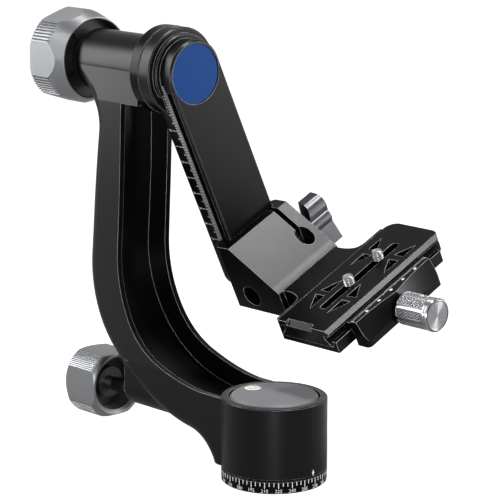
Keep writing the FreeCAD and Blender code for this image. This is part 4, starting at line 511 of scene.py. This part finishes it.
def knurled_knob():
    """Clamp knob: radius less a diamond knurl in eight sectors, with a round groove between them.

    The knurl is the lesser of two zigzags of arc length plus and minus place times tan 35 degrees over
    a 1.5 mm pitch, to the power 0.7 for blunt crests; a groove's depth is half the sagitta of its
    1.3 mm radius about a line on the rim.
    """
    profile = [(41.3, 2.05), (41.3, 8.3), (41.9, 8.95), (61.0, 8.95), (61.15, 8.7), (61.5, 8.7), (61.65, 9.1),
               (62.9, 9.1), (63.6, 8.5), (63.8, 8.2), (63.8, 7.6), (63.65, 7.4), (63.65, 0)]
    along, radius = profile_points(profile, 0.16)
    sides, pitch, rim, sector = 352, 1.5, 8.9, math.tau / 8
    turn = np.linspace(0, math.tau, sides, endpoint=False)[None, :]
    place = along[:, None]
    arc, lean = turn * rim, place * math.tan(math.radians(35))
    knurl = np.minimum(zigzag((arc + lean) / pitch), zigzag((arc - lean) / pitch)) ** 0.7
    off_groove = ((turn / sector + 0.5) % 1 - 0.5) * sector * rim
    ridged = (np.abs(off_groove) > 1.15) & (place > 42.1) & (place < 59.6)
    groove = np.where(place < 60.0, np.sqrt(np.clip(1.3 ** 2 - off_groove ** 2, 0, None)) - 0.75, 0)
    depth = np.where(ridged, 0.6 * (1 - knurl), 0.5 * np.clip(groove, 0, None) * (radius[:, None] > 8))
    points = round_points(along, radius[:, None] - depth, sides, 0, (0, 0, SCREW_AXIS))
    thing = piece("knurled_clamp_knob", on_the_swing(points), grid_quads(len(along), sides),
                  "clamp_turner", silver_clamp)
    sharpen(thing, 50)
    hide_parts("clamp_knob")


def tripod_thread():
    """Tripod insert: a steel ring with the 3/8 inch thread, 1.5875 mm pitch, cut outwards from its bore."""
    outside = [(0.0, 4.6), (0.0, 7.5), (0.5, 8.0), (12.5, 8.0)]
    bore = [(12.5, 3.97), (0.63, 3.97), (0.0, 4.6)]
    along, radius = profile_points(outside + bore, 0.2)
    sides = 64
    radii = threaded(along, radius, sides, 1.5875, 0.4, 12.4, -0.78)
    radii = np.where(radius[:, None] < 4.0, radii, radius[:, None])
    points = round_points(along, radii, sides, 2, (0, 0, 0))
    thing = piece("tripod_thread", points, grid_quads(len(along), sides, closed_rows=True), "stand",
                  steel_z)
    sharpen(thing, 40)
    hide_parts("tripod_insert")


def level_marks():
    """The bubble level's dark ring, and the bubble as a low dome: height = 0.25 times (1 - r squared)."""
    low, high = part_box("bubble_level")
    middle = (np.array(low) + np.array(high)) / 2 / MM
    top = high[2] / MM
    along, radius = profile_points([(0.0, 1.9), (INK, 1.9), (INK, 2.15), (0.0, 2.15)], 0.2)
    sides = 48
    ring = round_points(along + top, radius, sides, 2, (middle[0], middle[1], 0))
    piece("level_ring", ring, grid_quads(len(along), sides, closed_rows=True), "arm", dark_ink)
    rim, sides = 1.35, 32
    radius = np.linspace(rim, 0, 9)
    height = 0.25 * (1 - (radius / rim) ** 2)
    dome = round_points(height + top, radius, sides, 2, (middle[0] + 0.3, middle[1] - 0.2, 0))
    foot = [list(range(sides))]
    piece("level_bubble", dome, grid_quads(len(radius), sides) + foot, "arm", level_resin)


for place, across in LENS_SCREWS.items():
    lens_screw(place, across)
knurled_knob()
tripod_thread()
level_marks()


# ---- floor, light and camera ----------------------------------------------------------------------------

def studio_white():
    """World and floor: white where the camera sees them, dimmer where gloss or glass shows them.

    The world's strength is 1 for the camera and 0.35 for soft light. For gloss and glass it falls from
    0.9 at the horizon to 0.4 at the studio's dark ceiling, as the upward part of the direction goes from
    0.05 to 0.45. The floor is a mid grey lifted to white for the camera, so it throws little light back.
    """
    world = bpy.data.worlds.new("studio")
    bpy.context.scene.world = world
    world.use_nodes = True
    tree = world.node_tree
    seen = add(tree, "ShaderNodeLightPath")
    sky = add(tree, "ShaderNodeTexCoord").outputs["Generated"]
    way = add(tree, "ShaderNodeSeparateXYZ", {"Vector": sky})
    ceiling = add(tree, "ShaderNodeMapRange", {
        "Value": way.outputs["Z"], "From Min": 0.05, "From Max": 0.45, "To Min": 0.9, "To Max": 0.4})
    shown = add(tree, "ShaderNodeMath", {
        0: seen.outputs["Is Glossy Ray"], 1: seen.outputs["Is Transmission Ray"]}, operation="MAXIMUM")
    soft = add(tree, "ShaderNodeMapRange", {
        "Value": shown.outputs[0], "To Min": 0.35, "To Max": ceiling.outputs["Result"]})
    level = add(tree, "ShaderNodeMapRange", {
        "Value": seen.outputs["Is Camera Ray"], "To Min": soft.outputs["Result"], "To Max": 1.0})
    tree.links.new(level.outputs["Result"], tree.nodes["Background"].inputs["Strength"])
    tree.nodes["Background"].inputs["Color"].default_value = (1, 1, 1, 1)

    mesh = bpy.data.meshes.new("floor")
    reach = 3.0
    corners = [(-reach, -reach, 0), (reach, -reach, 0), (reach, reach, 0), (-reach, reach, 0)]
    mesh.from_pydata(corners, [], [(0, 1, 2, 3)])
    floor = bpy.data.objects.new("floor", mesh)
    bpy.context.scene.collection.objects.link(floor)
    material = bpy.data.materials.new("pale_floor")
    material.use_nodes = True
    tree = material.node_tree
    shader = tree.nodes["Principled BSDF"]
    shader.inputs["Base Color"].default_value = linear("#909090")
    shader.inputs["Roughness"].default_value = 0.9
    shader.inputs["Specular IOR Level"].default_value = 0.0
    seen = add(tree, "ShaderNodeLightPath")
    gloss = add(tree, "ShaderNodeMath", {0: seen.outputs["Is Glossy Ray"], 1: 0.15}, operation="MULTIPLY")
    lift = add(tree, "ShaderNodeMath", {0: seen.outputs["Is Camera Ray"], 1: 0.95, 2: gloss.outputs[0]},
               operation="MULTIPLY_ADD")
    shader.inputs["Emission Color"].default_value = (1, 1, 1, 1)
    tree.links.new(lift.outputs[0], shader.inputs["Emission Strength"])
    mesh.materials.append(material)


def softbox(name, place, target, width, height, power):
    """A rectangular lamp at a place, facing a target, in metres and watts."""
    lamp = bpy.data.lights.new(name, "AREA")
    lamp.shape = "RECTANGLE"
    lamp.size, lamp.size_y, lamp.energy = width, height, power
    holder = bpy.data.objects.new(name, lamp)
    bpy.context.scene.collection.objects.link(holder)
    holder.location = place
    holder.rotation_mode = "QUATERNION"
    holder.rotation_quaternion = (Vector(place) - Vector(target)).to_track_quat("Z", "Y")


def camera():
    """A long lens at the view's angle, solved from the round base, hub, knobs and arm.

    Focal length and optical centre are in pixels of a render 500 wide, the place is in millimetres.
    """
    focal, width = 2347.7, 500
    centre_x, centre_y = 266.82, 266.39
    turn, down, roll = math.radians(46.284), math.radians(12.672), math.radians(0.198)
    lens = bpy.data.cameras.new("camera")
    view = bpy.data.objects.new("camera", lens)
    bpy.context.scene.collection.objects.link(view)
    lens.sensor_width = 36.0
    lens.lens = lens.sensor_width * focal / width
    lens.shift_x = (width / 2 - centre_x) / width
    lens.shift_y = (centre_y - width / 2) / width
    ahead = np.array((-math.sin(turn) * math.cos(down), math.cos(turn) * math.cos(down), -math.sin(down)))
    right = np.array((math.cos(turn), math.sin(turn), 0.0))
    up = np.cross(right, ahead)
    side = math.cos(roll) * right + math.sin(roll) * up
    top = -math.sin(roll) * right + math.cos(roll) * up
    matrix = np.eye(4)
    matrix[:3, 0], matrix[:3, 1], matrix[:3, 2] = side, top, -ahead
    matrix[:3, 3] = np.array((855.5, -823.8, 381.8)) * MM
    view.matrix_world = Matrix(matrix.tolist())
    lens.clip_start, lens.clip_end = 0.05, 20
    bpy.context.scene.camera = view


studio_white()
MIDDLE = (-0.02, 0.02, 0.12)
softbox("left_box", (-0.88, -0.58, 0.53), MIDDLE, 0.22, 1.0, 8.5)
softbox("right_box", (0.62, 0.84, 0.42), MIDDLE, 0.2, 0.84, 6)
softbox("top_box", (0.25, 0.19, 1.1), MIDDLE, 0.2, 0.2, 6)
softbox("fold_box", (-0.17, 0.2, 1.15), MIDDLE, 0.09, 0.12, 4)
softbox("front_box", (0.5, -0.48, 0.07), (0, 0, 0.05), 0.05, 0.12, 2.5)
camera()
bpy.context.scene.view_settings.view_transform = "Standard"
